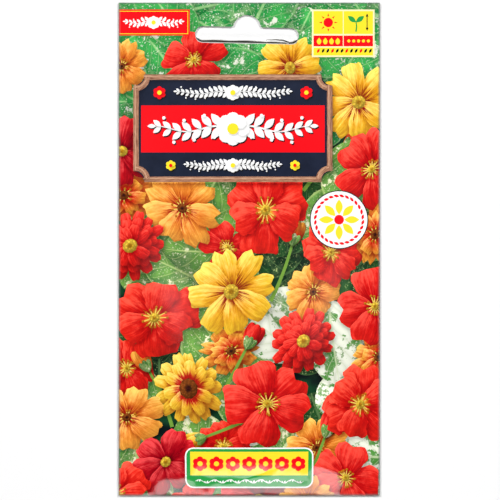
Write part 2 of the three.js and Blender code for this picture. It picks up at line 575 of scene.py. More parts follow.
class LeafInk(Effect):
    """Print of a leaf: midrib, side veins, quilting, cream marbling and fine speckles."""

    INPUTS = {
        "Blade": (70, 150, 70), "Deep": (30, 100, 55), "Vein": (170, 205, 140), "Marbling": 0.3,
        "Speckles": 0.5, "Cream": (240, 243, 225), "Veins": 6.0,
    }

    @classmethod
    def body(cls, tree: Tree, given: Given) -> Wire:
        """Builds the leaf's colours."""
        along, across = shape_place(tree)
        shade, own, kin = shape_tone(tree)
        x, y, _ = components(object_place(tree))
        spot = vector_of(x / MM, y / MM, own * 70.0)
        wide = size_of(across)
        rank = (along - wide * 0.34 + (own - 0.5) * 0.1) * given["Veins"]
        away = size_of(maths("FRACT", rank) - 0.5) * 2.0
        ribbed = ramp(away, 0.86, 0.98) * (1.0 - ramp(wide, 0.55, 1.0)) * 0.75
        midrib = 1.0 - ramp(wide * (0.35 + along), 0.012, 0.05)
        blotch = noise(spot, 0.22, 4.0, 0.62)
        speck = noise(spot, 1.7, 2.0, 0.7)
        mottle = noise(spot, 0.09, 2.0)
        patch = ramp(mottle + (blotch - 0.5) * 0.7, 0.34, 0.66)
        colour = mixed(patch, given["Blade"], given["Deep"])
        edge = 0.78 - given["Marbling"] * 0.5
        cream = ramp(blotch + (speck - 0.5) * 0.16, edge, edge + 0.035)
        veil = ramp(blotch + (mottle - 0.5) * 0.6, edge - 0.12, edge + 0.05)
        sparse = 0.69 - given["Speckles"] * 0.1
        dots = ramp(speck, sparse, sparse + 0.06)
        colour = mixed(veil * 0.35, colour, given["Vein"])
        colour = mixed(dots * 0.8, colour, given["Cream"])
        colour = mixed(cream, colour, given["Cream"])
        rim = ramp(wide, 0.9, 0.98) * ramp(along, 0.05, 0.2)
        lines = clamped(greater(greater(midrib, ribbed) * 0.7, rim * 0.5))
        colour = mixed(lines, colour, given["Vein"])
        quilt = 0.93 + ramp(1.0 - away, 0.0, 0.9) * 0.12
        light = shade * quilt * (0.86 + kin * 0.24)
        return brightened(colour, light)


class DiscInk(Effect):
    """Print of a flower's middle: a crowd of dots, darker at the centre and the rim."""

    INPUTS = {"Middle": (120, 60, 20), "Ring": (235, 180, 50), "Dots": 1.6}

    @classmethod
    def body(cls, tree: Tree, given: Given) -> Wire:
        """Builds the disc's colours."""
        along, across = shape_place(tree)
        shade, own, _ = shape_tone(tree)
        x, y, _ = components(object_place(tree))
        spot = {"Vector": vector_of(x / MM, y / MM, own * 30.0), "Scale": 1.5}
        dots = added(tree, "ShaderNodeTexVoronoi", spot, "Distance")
        reach = (along * along + across * across) ** 0.5
        ring = ramp(reach, 0.15, 0.6) * (1.0 - ramp(reach, 0.85, 1.05) * 0.5)
        colour = mixed(ring, given["Middle"], given["Ring"])
        grain = 1.25 - clamped(dots * given["Dots"]) * 0.7
        return brightened(colour, shade * grain)


class PlainInk(Effect):
    """A flat printed colour with a faint cloudiness, and the shadows that fall on it."""

    INPUTS = {"Ink": (200, 200, 200), "Cloud": 0.06}

    @classmethod
    def body(cls, tree: Tree, given: Given) -> Wire:
        """Builds the ink's colour."""
        shade, _, _ = shape_tone(tree)
        cloud = noise(object_place(tree), 260.0, 3.0)
        return brightened(given["Ink"], shade * (1.0 + (cloud - 0.5) * given["Cloud"]))


class Thicket(Effect):
    """Print of the dim growth behind the plants, out of focus."""

    INPUTS = {"Dark": (12, 24, 26), "Dim": (24, 74, 44)}

    @classmethod
    def body(cls, tree: Tree, given: Given) -> Wire:
        """Builds the dim growth's colours."""
        shade, _, _ = shape_tone(tree)
        blur = noise(object_place(tree), 120.0, 1.5)
        colour = mixed(ramp(blur, 0.42, 0.66), given["Dark"], given["Dim"])
        return brightened(colour, shade)


class Timber(Effect):
    """Print of a painted wooden rim, its grain along the rail."""

    INPUTS = {"Light": (196, 146, 116), "Dark": (120, 74, 56)}

    @classmethod
    def body(cls, tree: Tree, given: Given) -> Wire:
        """Builds the grain."""
        along, across = shape_place(tree)
        shade, own, _ = shape_tone(tree)
        grain = noise((along * 0.35, across * 3.2, own * 40.0), 1.0, 4.0, 0.65)
        colour = mixed(ramp(grain, 0.3, 0.72), given["Light"], given["Dark"])
        return brightened(colour, shade)


class PaperFibre(Relief):
    """Height of the fibres that show through a web's surface, in metres."""

    INPUTS = {"Depth": 4e-6}

    @classmethod
    def body(cls, tree: Tree, given: Given) -> Wire:
        """Builds the height of the fibres."""
        where = object_place(tree)
        cloud = noise(where, 900.0, 3.0)
        swell = noise(where, 130.0, 2.0)
        return (cloud + swell * 2.2) * given["Depth"]


class RimShade(Effect):
    """Painted shade along a web's rim, where the cut edge curls away from the light, laid over its
    ink.
    """

    INPUTS = {
        "Colour": (200, 200, 200), "Shade": (100, 106, 104), "Strength": 0.68,
        "Half width": PACKET_WIDTH / 2, "Half height": PACKET_HEIGHT / 2, "Run": 0.8 * MM,
    }

    @classmethod
    def body(cls, tree: Tree, given: Given) -> Wire:
        """Builds the inked colour with the painted shade along its rim."""
        where = object_place(tree)
        x, y, _ = components(where)
        inward = lesser(given["Half width"] - size_of(x), given["Half height"] - size_of(y))
        uneven = noise(where, 240.0, 2.0) * 0.6 + 0.7
        # painted shade: the ink turns grey within a run of the rim
        share = (1.0 - ramp(inward, 0.0, given["Run"])) * given["Strength"] * uneven
        return mixed(clamped(share), given["Colour"], given["Shade"])


class FootPucker(Relief):
    """Height of the puckers at the foot: past a wavy line the web hangs at a lean."""

    INPUTS = {
        "Foot": FrontForm.foot, "Run": FrontForm.foot_run, "Peak": FrontForm.peak,
        "Half": FrontForm.half, "Roundness": FrontForm.roundness, "Round": 1.8 * MM,
        "Lean": 0.6, "Pucker": 1.4 * MM, "Reach": 12 * MM,
    }
    HUMP_AT, HUMP_SPREAD, HUMP = 15 * MM, 10 * MM, 5.5 * MM
    SWELL_AT, SWELL_SPREAD, SWELL = -23.5 * MM, 7 * MM, 4.2 * MM
    SWAY, LOWERED, SKEW = 2 * MM, 0.6 * MM, 0.05
    LEFT_END, RIGHT_END = (-38 * MM, -25 * MM), (24 * MM, 37 * MM)
    CURL_FROM, CURL = -74.2 * MM, 110.0
    SOFT_END, SHARP_END, SOFT, SHARP = -15 * MM, 12 * MM, 1.2 * MM, 0.2 * MM

    @classmethod
    def _rise(cls, given: Given, y: Wire, bulge: Wire) -> Wire:
        """How high the pocket's own slope stands, which leaves the bond in a rounded crease.

        Args:
            given: The group's inputs.
            y: Where it is asked for.
            bulge: The pocket's share of its full height there, from side to side.

        Returns:
            The height over the bond.
        """
        up = y - given["Foot"]
        share = clamped((up / given["Round"] + 1.0) * 0.5)
        gone = share * share * given["Round"] + greater(up - given["Round"], 0.0)
        return slope(gone, given["Run"]) * given["Peak"] * bulge

    @classmethod
    def _start(cls, given: Given, x: Wire) -> Wire:
        """Draws the wavy line below which the web hangs.

        Args:
            given: The group's inputs.
            x: Places across the packet.

        Returns:
            How far up the line is there.
        """
        sway = noise((x / MM, 4.0, 1.0), 0.09, 2.0) - 0.5
        hump = bell((x - cls.HUMP_AT) / cls.HUMP_SPREAD) * cls.HUMP
        swell = bell((x - cls.SWELL_AT) / cls.SWELL_SPREAD) * cls.SWELL
        return given["Foot"] + x * cls.SKEW + hump + swell + sway * cls.SWAY - cls.LOWERED

    @classmethod
    def body(cls, tree: Tree, given: Given) -> Wire:
        """Builds the height of the web's face."""
        x, y, _ = components(object_place(tree))
        start = cls._start(given, x)
        past = greater(start - y, 0.0)
        onset = (1.0 - ramp(x, cls.SOFT_END, cls.SHARP_END)) * cls.SOFT + cls.SHARP
        hangs = past * past / (past + onset)
        sides = ramp(x, *cls.LEFT_END) * (1.0 - ramp(x, *cls.RIGHT_END))
        bulge = 1.0 - lesser(size_of(x) / given["Half"], 1.0) ** given["Roundness"]
        undone = greater(cls._rise(given, start, bulge) - cls._rise(given, y, bulge), 0.0)
        crumple = noise((x / MM, y * 600.0, 3.0), 0.13, 1.5)
        near = 1.0 - ramp(y, given["Foot"], given["Foot"] + given["Reach"])
        lean = noise((x / MM, 9.0, 6.0), 0.06, 2.0) * 0.4 + 0.8
        curl = greater(cls.CURL_FROM - y, 0.0) ** 2.0 * cls.CURL
        fall = hangs * given["Lean"] * sides * lean
        return crumple * near * given["Pucker"] + undone - fall - curl


# ---- finishes


class Finish(ABC):
    """What a surface is made of: the shader's roughness and specular level, and its fibres."""

    name: str
    roughness: float
    gloss: float
    fibre: float = 0.0

    @abstractmethod
    def colour(self, tree: Tree) -> Union[Wire, Colour]:
        """The surface's colour, as a wire or as one plain colour."""

    def relief(self, tree: Tree) -> Wire:
        """The height of what stands out of the surface, in metres."""
        return PaperFibre.place(tree, {"Depth": self.fibre})

    def material(self) -> Material:
        """Builds the material the first time it is asked for.

        Returns:
            The material.
        """
        known = bpy.data.materials.get(self.name)
        if known is not None:
            return known
        made = bpy.data.materials.new(self.name)
        made.use_nodes = True
        tree = made.node_tree
        shader = tree.nodes["Principled BSDF"]
        plug(shader.inputs["Base Color"], self.colour(tree))
        plug(shader.inputs["Roughness"], self.roughness)
        plug(shader.inputs["Specular IOR Level"], self.gloss)
        if self.fibre:
            raised = {"Strength": 1.0, "Distance": 1.0, "Height": self.relief(tree)}
            plug(shader.inputs["Normal"], added(tree, "ShaderNodeBump", raised, "Normal"))
        return made


@dataclass(frozen=True)
class Laminate(Finish):
    """Ink under a gloss film: the finish of the packet's front."""

    name: str
    effect: type[Effect]
    values: tuple[Union[float, Colour], ...] = ()
    roughness: float = 0.16
    gloss: float = 0.4
    fibre: float = 2.2e-6

    def colour(self, tree: Tree) -> Wire:
        """The ink, with painted shade along the rim."""
        ink = self.effect.place(tree, dict(zip(self.effect.INPUTS, self.values)))
        return RimShade.place(tree, {"Colour": ink})

    def relief(self, tree: Tree) -> Wire:
        """The fibres under the film, and the puckers at the foot."""
        return super().relief(tree) + FootPucker.place(tree, {})


@dataclass(frozen=True)
class CoatedPaper(Laminate):
    """Ink on satin coated paper: the finish of the packet's back."""

    roughness: float = 0.55
    gloss: float = 0.35
    fibre: float = 6e-6

    def relief(self, tree: Tree) -> Wire:
        """The fibres under the coat: the back has no puckers."""
        return Finish.relief(self, tree)


@dataclass(frozen=True)
class BarePaper(Finish):
    """Unprinted paper: the cut edges and the inside of both webs."""

    name: str = "bare_paper"
    roughness: float = 0.85
    gloss: float = 0.2
    fibre: float = 1e-5

    def colour(self, tree: Tree) -> Wire:
        """Warm white with a faint cloudiness."""
        cloud = noise(object_place(tree), 700.0, 4.0)
        return mixed(cloud, (238, 235, 226), (246, 244, 238))


@dataclass(frozen=True)
class BondFilm(Finish):
    """The cold-seal adhesive between the webs, with the dull shine of glue."""

    name: str = "bond_film"
    roughness: float = 0.5
    gloss: float = 0.5
    fibre: float = 8e-6

    def colour(self, tree: Tree) -> Wire:
        """Cream with paler streaks where it was rolled on."""
        x, y, z = components(object_place(tree))
        streaks = noise((x * 900.0, y * 60.0, z * 900.0), 1.0, 3.0)
        return mixed(streaks, (222, 213, 190), (240, 235, 220))


@dataclass(frozen=True)
class CorkySkin(Finish):
    """The dry, corky coat of a seed."""

    name: str = "corky_skin"
    roughness: float = 0.88
    gloss: float = 0.2
    fibre: float = 0.1 * MM

    def colour(self, tree: Tree) -> Wire:
        """Buff and brown in patches, with dark specks in the pits."""
        where = object_place(tree)
        patch = noise(where, 420.0, 4.0, 0.6)
        speck = noise(where, 2600.0, 3.0, 0.7)
        colour = mixed(ramp(patch, 0.35, 0.65), (206, 172, 120), (150, 110, 66))
        return mixed(ramp(speck, 0.56, 0.68) * 0.8, colour, (86, 58, 36))

    def relief(self, tree: Tree) -> Wire:
        """Fine wrinkles."""
        return noise(object_place(tree), 1800.0, 4.0, 0.65) * self.fibre


@dataclass(frozen=True)
class StudioFloor(Finish):
    """The pale, dull surface that the packet lies on."""

    name: str = "studio_floor"
    roughness: float = 1.0
    gloss: float = 0.0

    def colour(self, tree: Tree) -> Colour:
        """Near white."""
        return (226, 226, 226)


class Ink(Enum):
    """What is printed: each value is a finish, with its effect's inputs in their order."""

    THICKET = Laminate("thicket_ink", Thicket)
    STEM = Laminate("stem_ink", PlainInk, ((118, 160, 62), 0.3))
    LEAF_BRIGHT = Laminate("bright_leaf_ink", LeafInk, (
        (66, 178, 84), (16, 122, 58), (174, 224, 150), 0.34, 0.9,
    ))
    LEAF_GRASS = Laminate("grass_leaf_ink", LeafInk, (
        (116, 168, 74), (34, 100, 48), (202, 222, 140), 0.36, 0.8, (238, 236, 196),
    ))
    LEAF_DARK = Laminate("dark_leaf_ink", LeafInk, (
        (42, 88, 42), (8, 34, 24), (100, 140, 84), 0.3, 0.75, (176, 196, 124),
    ))
    LEAF_MARBLED = Laminate("marbled_leaf_ink", LeafInk, (
        (84, 150, 66), (26, 92, 46), (218, 232, 186), 0.64, 0.8,
    ))
    PETAL_SCARLET = Laminate("scarlet_petal_ink", PetalInk, (
        (140, 10, 18), (226, 20, 20), (242, 36, 28), (150, 4, 18), (255, 98, 80),
        0.18, 0.4, 0.6,
    ))
    PETAL_POPPY = Laminate("poppy_petal_ink", PetalInk, (
        (248, 178, 46), (230, 24, 20), (246, 42, 28), (160, 4, 16), (255, 104, 80),
        0.2, 0.45, 0.6,
    ))
    PETAL_CRIMSON = Laminate("crimson_petal_ink", PetalInk, (
        (84, 4, 18), (196, 10, 28), (222, 22, 34), (108, 2, 18), (246, 92, 92),
        0.2, 0.3, 0.6,
    ))
    PETAL_FLAME = Laminate("flame_petal_ink", PetalInk, (
        (120, 8, 18), (230, 44, 18), (252, 176, 60), (170, 14, 14), (255, 214, 120),
        0.24, 0.7, 0.7,
    ))
    PETAL_ORANGE = Laminate("orange_petal_ink", PetalInk, (
        (176, 22, 18), (246, 140, 42), (255, 180, 70), (196, 56, 20), (255, 210, 116),
        0.3, 1.0, 0.7,
    ))
    PETAL_YELLOW = Laminate("yellow_petal_ink", PetalInk, (
        (150, 12, 18), (250, 182, 30), (254, 206, 50), (206, 78, 22), (255, 232, 128),
        0.3, 1.1, 0.55,
    ))
    PETAL_TIPPED = Laminate("tipped_petal_ink", PetalInk, (
        (200, 20, 20), (248, 176, 36), (254, 206, 56), (206, 60, 20), (255, 232, 134),
        0.6, 0.5, 0.5,
    ))
    DISC_DARK = Laminate("dark_disc_ink", DiscInk, ((60, 20, 16), (142, 72, 24)))
    DISC_GOLD = Laminate("gold_disc_ink", DiscInk, ((190, 132, 24), (246, 204, 66)))
    STAMEN = Laminate("stamen_ink", PlainInk, ((248, 212, 96), 0.1))
    ANTHER = Laminate("anther_ink", PlainInk, ((190, 116, 26), 0.1))
    SLATE = Laminate("slate_ink", PlainInk, ((30, 36, 54), 0.7))
    RAIL = Laminate("rail_ink", Timber)
    RAIL_EDGE = Laminate("rail_edge_ink", Timber, ((222, 178, 146), (176, 126, 98)))
    RED = Laminate("red_ink", PlainInk, ((250, 14, 26), 0.04))
    YELLOW = Laminate("yellow_ink", PlainInk, ((253, 228, 48), 0.03))
    CREAM = Laminate("cream_ink", PlainInk, ((253, 242, 190), 0.03))
    WHITE = Laminate("white_ink", PlainInk, ((251, 251, 250), 0.02))
    GREEN = Laminate("green_ink", PlainInk, ((42, 160, 72), 0.04))
    # Painted shade for the slot's lip: a dark line with grey and pale fringes.
    LIP_DARK = Laminate("dark_lip_shade", PlainInk, ((46, 48, 42), 0.9))
    LIP_GREY = Laminate("grey_lip_shade", PlainInk, ((136, 134, 128), 0.5))
    LIP_PALE = Laminate("pale_lip_shade", PlainInk, ((206, 205, 202), 0.2))
    BLACK = Laminate("black_ink", PlainInk, ((30, 28, 30), 0.05))
    BACK_FIELD = CoatedPaper("back_field", PlainInk, ((244, 247, 234), 0.03))
    BACK_GREEN = CoatedPaper("back_green", PlainInk, ((46, 146, 70), 0.05))
    BACK_PALE = CoatedPaper("back_pale", PlainInk, ((206, 228, 188), 0.04))
    BACK_WHITE = CoatedPaper("back_white", PlainInk, ((252, 252, 249), 0.02))
    BACK_GREY = CoatedPaper("back_grey", PlainInk, ((120, 128, 120), 0.05))
    BACK_RED = CoatedPaper("back_red", PlainInk, ((226, 50, 40), 0.04))
    BACK_YELLOW = CoatedPaper("back_yellow", PlainInk, ((250, 204, 52), 0.04))
    BACK_BROWN = CoatedPaper("back_brown", PlainInk, ((146, 98, 62), 0.3))


# ---- printed plans


Point = tuple[float, float]


def turned(angle: float) -> Array:
    """The matrix that turns points by an angle in degrees."""
    c, s = math.cos(math.radians(angle)), math.sin(math.radians(angle))
    return np.array(((c, -s), (s, c)))


def pointing(angles: Array) -> Array:
    """Unit vectors at some angles in radians."""
    return np.stack((np.cos(angles), np.sin(angles)), 1)


def facing_left(outline: Array) -> Array:
    """An outline that runs anticlockwise, whichever way it was given."""
    x, y = outline[:, 0], outline[:, 1]
    area = np.sum(x * np.roll(y, -1) - np.roll(x, -1) * y)
    return outline if area > 0 else outline[::-1]


LIGHT = np.array((-0.30, 0.52, 0.80))
AMBIENT, DIRECT = 0.18, 1.02
DARKEST, BRIGHTEST = 0.35, 1.3
DENSITY = 0.86


def lit(across: Array, up: Array) -> Array:
    """How bright a drawn surface is where it rises by the given slopes in X and in Y."""
    facing = LIGHT[2] - across * LIGHT[0] - up * LIGHT[1]
    bright = AMBIENT + DIRECT * facing / np.sqrt(across**2 + up**2 + 1.0)
    return np.clip(bright, DARKEST, BRIGHTEST)


@dataclass
class Shape:
    """One flat shape of a printed plan, in millimetres."""

    outline: Array
    ink: Ink
    shadow: float = 0.0
    reach: float = 0.6
    own: float = 0.5
    kin: float = 0.5
    turn: float = 0.0

    def place(self, points: Array) -> Array:
        """Where points are along and across the shape, in millimetres from its middle."""
        return (points - self.outline.mean(axis=0)) @ turned(self.turn)

    def light(self, points: Array) -> Array:
        """The light that the drawing gives the shape at some points."""
        return np.ones(len(points))


@dataclass(kw_only=True)
class Blade(Shape):
    """A petal or a leaf: a shape that grows from a base along a bent line, by its profile."""

    outline: Array = field(init=False)
    base: Array
    length: float
    width: float
    rise: float
    fall: float
    bend: float = 0.0
    frill: float = 0.0
    notch: float = 0.0
    squash: Array = field(default_factory=lambda: np.eye(2))
    cup: float = 0.5
    crown: float = 0.35
    fold: float = 0.0
    steps: int = 17

    def __post_init__(self) -> None:
        """Draws the outline."""
        share = (1 - np.cos(np.linspace(0, math.pi, self.steps))) / 2
        side = self.half_width(share)
        wave = 1 + self.frill * np.sin(share * 17 + self.own * 40)
        other = 1 + self.frill * np.sin(share * 15 + self.own * 90)
        upper = np.stack((share * self.length, side * wave), 1)
        lower = np.stack((share * self.length, -side * other), 1)[::-1][1:-1]
        drawn = np.concatenate((upper, lower))
        across = drawn[:, 1] / self.width * 2
        out = np.clip(drawn[:, 0] / self.length, 0, 1) ** 3
        notch = self.notch * np.exp(-12 * across**2)
        drawn[:, 0] *= 1 + (self.frill * np.sin(across * 6.5 + self.own * 50) - notch) * out
        drawn[:, 1] += self.bend * self.length * (drawn[:, 0] / self.length) ** 2
        self.outline = facing_left(drawn @ self._to_page().T + self.base)

    def half_width(self, share: Array) -> Array:
        """Half the width along the blade.

        Args:
            share: Shares of the length.

        Returns:
            Half the width at each of them.
        """
        top = self.rise / (self.rise + self.fall)
        most = top**self.rise * (1 - top) ** self.fall
        share = np.clip(share, 0.0, 1.0)
        return self.width / 2 * share**self.rise * (1 - share) ** self.fall / most

    def _to_page(self) -> Array:
        """The matrix from the blade's own directions to the page's."""
        return self.squash @ turned(self.turn)

    def place(self, points: Array) -> Array:
        """Shares of the length, and shares of the half width from -1 to 1."""
        own = (points - self.base) @ np.linalg.inv(self._to_page()).T
        along = np.clip(own[:, 0] / self.length, 0.0, 1.0)
        side = own[:, 1] - self.bend * self.length * along**2
        wide = np.maximum(self.half_width(along), 0.06 * self.width)
        return np.stack((along, np.clip(side / wide, -1.0, 1.0)), 1)

    def light(self, points: Array) -> Array:
        """Light from the blade's cup, its crown, its frill and its fold."""
        along, across = self.place(points).T
        rising = self.cup * (0.75 - 1.5 * along)
        frill = 2.2 * self.frill * np.cos(across * 5 + self.own * 20) * along**2
        leaning = -self.crown * across + frill + self.fold * np.tanh(across * 5)
        page = np.stack((rising, leaning), 1) @ turned(self.turn).T
        return lit(page[:, 0], page[:, 1])


@dataclass(kw_only=True)
class Boss(Shape):
    """A rounded shape, such as the middle of a flower or an anther."""

    outline: Array = field(init=False)
    middle: Array
    radius: float
    squash: Array = field(default_factory=lambda: np.eye(2))
    frill: float = 0.0
    bulge: float = 0.8
    steps: int = 20

    def __post_init__(self) -> None:
        """Draws the outline."""
        angle = np.linspace(0, 2 * math.pi, self.steps, endpoint=False)
        size = self.radius * (1 + self.frill * np.sin(angle * 9 + self.own * 30))
        ring = pointing(angle) * size[:, None]
        self.outline = facing_left(ring @ self.squash.T + self.middle)

    def place(self, points: Array) -> Array:
        """Shares of the radius from the middle."""
        return (points - self.middle) @ np.linalg.inv(self.squash).T / self.radius

    def light(self, points: Array) -> Array:
        """Light on a dome."""
        own = self.place(points)
        return lit(-self.bulge * own[:, 0], -self.bulge * own[:, 1])


class ShadowMap:
    """How much light the drawing leaves at each place of a plan, as shapes are laid on it."""

    STEP = 0.25

    def __init__(self, width: float, height: float) -> None:
        """Makes a map with no shadow, for a plan of this many millimetres."""
        self.corner = np.array((-width / 2, -height / 2))
        self.light = np.ones((round(height / self.STEP) + 1, round(width / self.STEP) + 1))

    def lay(self, shape: Shape, offset: Array) -> None:
        """Lays a shape: its shadow falls on what is there, and its own face is clear.

        Args:
            shape: The shape.
            offset: How far its shadow falls to the side.
        """
        edge = 3 * shape.reach + np.abs(offset).max() if shape.shadow else self.STEP
        low = np.floor((shape.outline.min(0) - edge - self.corner) / self.STEP).astype(int)
        high = np.ceil((shape.outline.max(0) + edge - self.corner) / self.STEP).astype(int)
        first, last = np.maximum(low, 0), np.minimum(high + 1, self.light.shape[::-1])
        if np.any(first >= last):
            return
        xs, ys = (
            self.corner[axis] + np.arange(low[axis], high[axis] + 1) * self.STEP for axis in (0, 1)
        )
        mask = self._inside(shape.outline, xs, ys)
        window = self.light[first[1]:last[1], first[0]:last[0]]
        inner = tuple(slice(first[axis] - low[axis], last[axis] - low[axis]) for axis in (1, 0))
        if shape.shadow:
            cells_off = np.round(offset / self.STEP).astype(int)
            moved = np.roll(mask.astype(float), (cells_off[1], cells_off[0]), axis=(0, 1))
            soft = self._blurred(moved, shape.reach / self.STEP)
            window *= 1 - shape.shadow * soft[inner]
        window[mask[inner]] = 1.0

    @staticmethod
    def _inside(outline: Array, xs: Array, ys: Array) -> Array:
        """Which points of a grid are inside an outline.

        Args:
            outline: The outline.
            xs: The grid's columns.
            ys: Its rows.

        Returns:
            A row of answers for each of the grid's rows.
        """
        start, end = outline, np.roll(outline, -1, axis=0)
        above = start[:, 1, None] > ys[None, :]
        crosses = above != (end[:, 1, None] > ys[None, :])
        drop = end[:, 1] - start[:, 1]
        drop[drop == 0] = 1e-12
        share = (ys[None, :] - start[:, 1, None]) / drop[:, None]
        cut = start[:, 0, None] + share * (end[:, 0] - start[:, 0])[:, None]
        cut = np.where(crosses, cut, -np.inf)
        return (xs[None, None, :] < cut[:, :, None]).sum(axis=0) % 2 == 1

    @staticmethod
    def _blurred(grid: Array, spread: float) -> Array:
        """Blurs a grid by a bell.

        Args:
            grid: The grid.
            spread: The bell's spread, in cells.

        Returns:
            The blurred grid.
        """
        reach = max(1, int(2.5 * spread))
        taps = np.exp(-0.5 * (np.arange(-reach, reach + 1) / max(spread, 0.3)) ** 2)
        taps /= taps.sum()
        for axis in (0, 1):
            total = np.zeros_like(grid)
            for shift, tap in zip(range(-reach, reach + 1), taps):
                total += tap * np.roll(grid, shift, axis=axis)
            grid = total
        return grid

    def read(self, points: Array) -> Array:
        """Reads the light between the map's cells.

        Args:
            points: Places on the plan.

        Returns:
            The light at each of them.
        """
        at = (points - self.corner) / self.STEP
        at = np.clip(at, 0, np.array(self.light.shape[::-1]) - 1 - 1e-6)
        x, y = at.astype(int).T
        right, up = (at % 1).T
        near = self.light[y, x] * (1 - right) + self.light[y, x + 1] * right
        far = self.light[y + 1, x] * (1 - right) + self.light[y + 1, x + 1] * right
        return near * (1 - up) + far * up


@dataclass
class FlatPrint:
    """A plan cut into triangles, each of one shape, with every corner's place and tone."""

    points: Array
    triangles: Array
    shape_of: Array
    place: Array
    tone: Array

    def rings(self) -> list[list[int]]:
        """Follows the edges that belong to one triangle only.

        Returns:
            The point numbers of each closed run round the print, the longest run first.
        """
        edges = np.concatenate([self.triangles[:, pair] for pair in ((0, 1), (1, 2), (2, 0))])
        forward = set(map(tuple, edges.tolist()))
        ahead = {start: end for start, end in forward if (end, start) not in forward}
        rings = []
        while ahead:
            ring = [min(ahead)]
            at = ahead.pop(ring[0])
            while at != ring[0]:
                ring.append(at)
                at = ahead.pop(at)
            rings.append(ring)
        return sorted(rings, key=len, reverse=True)


class Plan:
    """A printed plan: shapes laid over each other in order, as ink on one face of a web."""

    SHADOW_OFFSET = np.array((0.35, -0.6))
    EDGE_STEP, ROW_STEP, UNEVEN = 1.3, 0.87, 0.06
    MERGED = 1e-4
    INWARD = 0.3
    WIDTH = PACKET_WIDTH / MM
    HEIGHT = PACKET_HEIGHT / MM

    def __init__(self, hole: Array, ground: Ink) -> None:
        """Starts a plan of the whole packet.

        Args:
            hole: The outline of the hang slot.
            ground: What is printed where no shape lies.
        """
        self.hole = hole
        self.shapes: list[Shape] = []
        self.band(-self.HEIGHT / 2, self.HEIGHT / 2, ground)

    def band(self, low: float, high: float, ink: Ink) -> None:
        """Lays a band across the whole width."""
        self.box(-self.WIDTH / 2, low, self.WIDTH / 2, high, ink)

    def box(
        self, left: float, low: float, right: float, high: float, ink: Ink, **more: float
    ) -> None:
        """Lays a rectangle."""
        self.draw(box_outline(left, low, right, high), ink, **more)

    def draw(self, outline: Array, ink: Ink, **more: float) -> None:
        """Lays a flat shape of one ink."""
        self.shapes.append(Shape(facing_left(np.asarray(outline, float)), ink, **more))

    def cut(self, spacing: float, creases: list[Array]) -> FlatPrint:
        """Cuts the plan into triangles, with crisp edges between its inks.

        Args:
            spacing: Distance between the added points, in millimetres.
            creases: Lines that some triangles' edges follow.

        Returns:
            The triangles, each with the index of the shape on top.
        """
        outlines = [shape.outline for shape in self.shapes] + [facing_left(self.hole)]
        points = [close_set(outline, spacing * self.EDGE_STEP) for outline in outlines]
        ends = np.cumsum([len(outline) for outline in points]).tolist()
        rings = [list(range(start, end)) for start, end in zip([0] + ends, ends)]
        lines = line_edges(creases, ends[-1])
        loose = np.concatenate(points + creases + [self._grid(spacing)])
        flat = [Vector(point) for point in loose]
        made = delaunay_2d_cdt(flat, lines, rings, 1, self.MERGED, True)
        slot = len(self.shapes)
        kept = [
            (triangle, max(owner))
            for triangle, owner in zip(made[2], made[5])
            if len(triangle) == 3 and 0 in owner and slot not in owner
        ]
        corners = np.array([triangle for triangle, _ in kept])
        top = np.array([shape for _, shape in kept])
        used, packed = np.unique(corners, return_inverse=True)
        places = np.array([tuple(point) for point in made[0]])[used]
        triangles = packed.reshape(corners.shape)
        return FlatPrint(places, triangles, top, *self._tones(places[triangles], top))

    def _grid(self, spacing: float) -> Array:
        """Spreads points over the plan in staggered, slightly uneven rows.

        Args:
            spacing: The distance between them.

        Returns:
            The points.
        """
        chance = random.Random(11)
        found = []
        rows = int(self.HEIGHT / (spacing * self.ROW_STEP))
        columns = int(self.WIDTH / spacing)
        for row in range(1, rows):
            y = -self.HEIGHT / 2 + self.HEIGHT * row / rows
            for column in range(1, columns):
                x = -self.WIDTH / 2 + (column + 0.5 * (row % 2) - 0.25) * self.WIDTH / columns
                found.append([at + chance.uniform(-self.UNEVEN, self.UNEVEN) for at in (x, y)])
        return np.array(found)

    def _tones(self, corners: Array, top: Array) -> tuple[Array, Array]:
        """Works out the place and the tone of every corner of every triangle.

        Args:
            corners: The triangles' corners.
            top: The index of the shape on top of each triangle.

        Returns:
            An array of places, with two numbers a corner, and one of tones, with four.
        """
        shadows = ShadowMap(self.WIDTH, self.HEIGHT)
        for shape in self.shapes:
            shadows.lay(shape, self.SHADOW_OFFSET)
        inward = corners + (corners.mean(axis=1, keepdims=True) - corners) * self.INWARD
        light = shadows.read(inward.reshape(-1, 2))
        place = np.zeros((len(light), 2))
        tone = np.ones((len(light), 4))
        owner = np.repeat(top, 3)
        loose = corners.reshape(-1, 2)
        for index in np.unique(owner):
            mine = owner == index
            shape = self.shapes[index]
            place[mine] = shape.place(loose[mine])
            tone[mine, 0] = shape.light(loose[mine]) * light[mine] * DENSITY
            tone[mine, 1:3] = shape.own, shape.kin
        return place, tone


def close_set(outline: Array, step: float) -> Array:
    """Adds points to an outline where two neighbours are far apart.

    Args:
        outline: The outline.
        step: How far apart they may be.

    Returns:
        The fuller outline.
    """
    after = np.roll(outline, -1, axis=0)
    counts = np.ceil(np.linalg.norm(after - outline, axis=1) / step).astype(int)
    return np.concatenate([
        start + (end - start) * np.arange(max(count, 1))[:, None] / max(count, 1)
        for start, end, count in zip(outline, after, counts)
    ])


def line_edges(lines: list[Array], first: int) -> list[tuple[int, int]]:
    """Numbers the edges of some open lines.

    Args:
        lines: The lines' points.
        first: The number of the first of them.

    Returns:
        The two point numbers of each edge.
    """
    edges = []
    for line in lines:
        edges += [(first + step, first + step + 1) for step in range(len(line) - 1)]
        first += len(line)
    return edges


def box_outline(left: float, low: float, right: float, high: float) -> Array:
    """A rectangle's outline."""
    return np.array(((left, low), (right, low), (right, high), (left, high)), float)


class Corner(Enum):
    """How a plaque's corners are cut."""

    ROUND = 1
    SCOOPED = -1


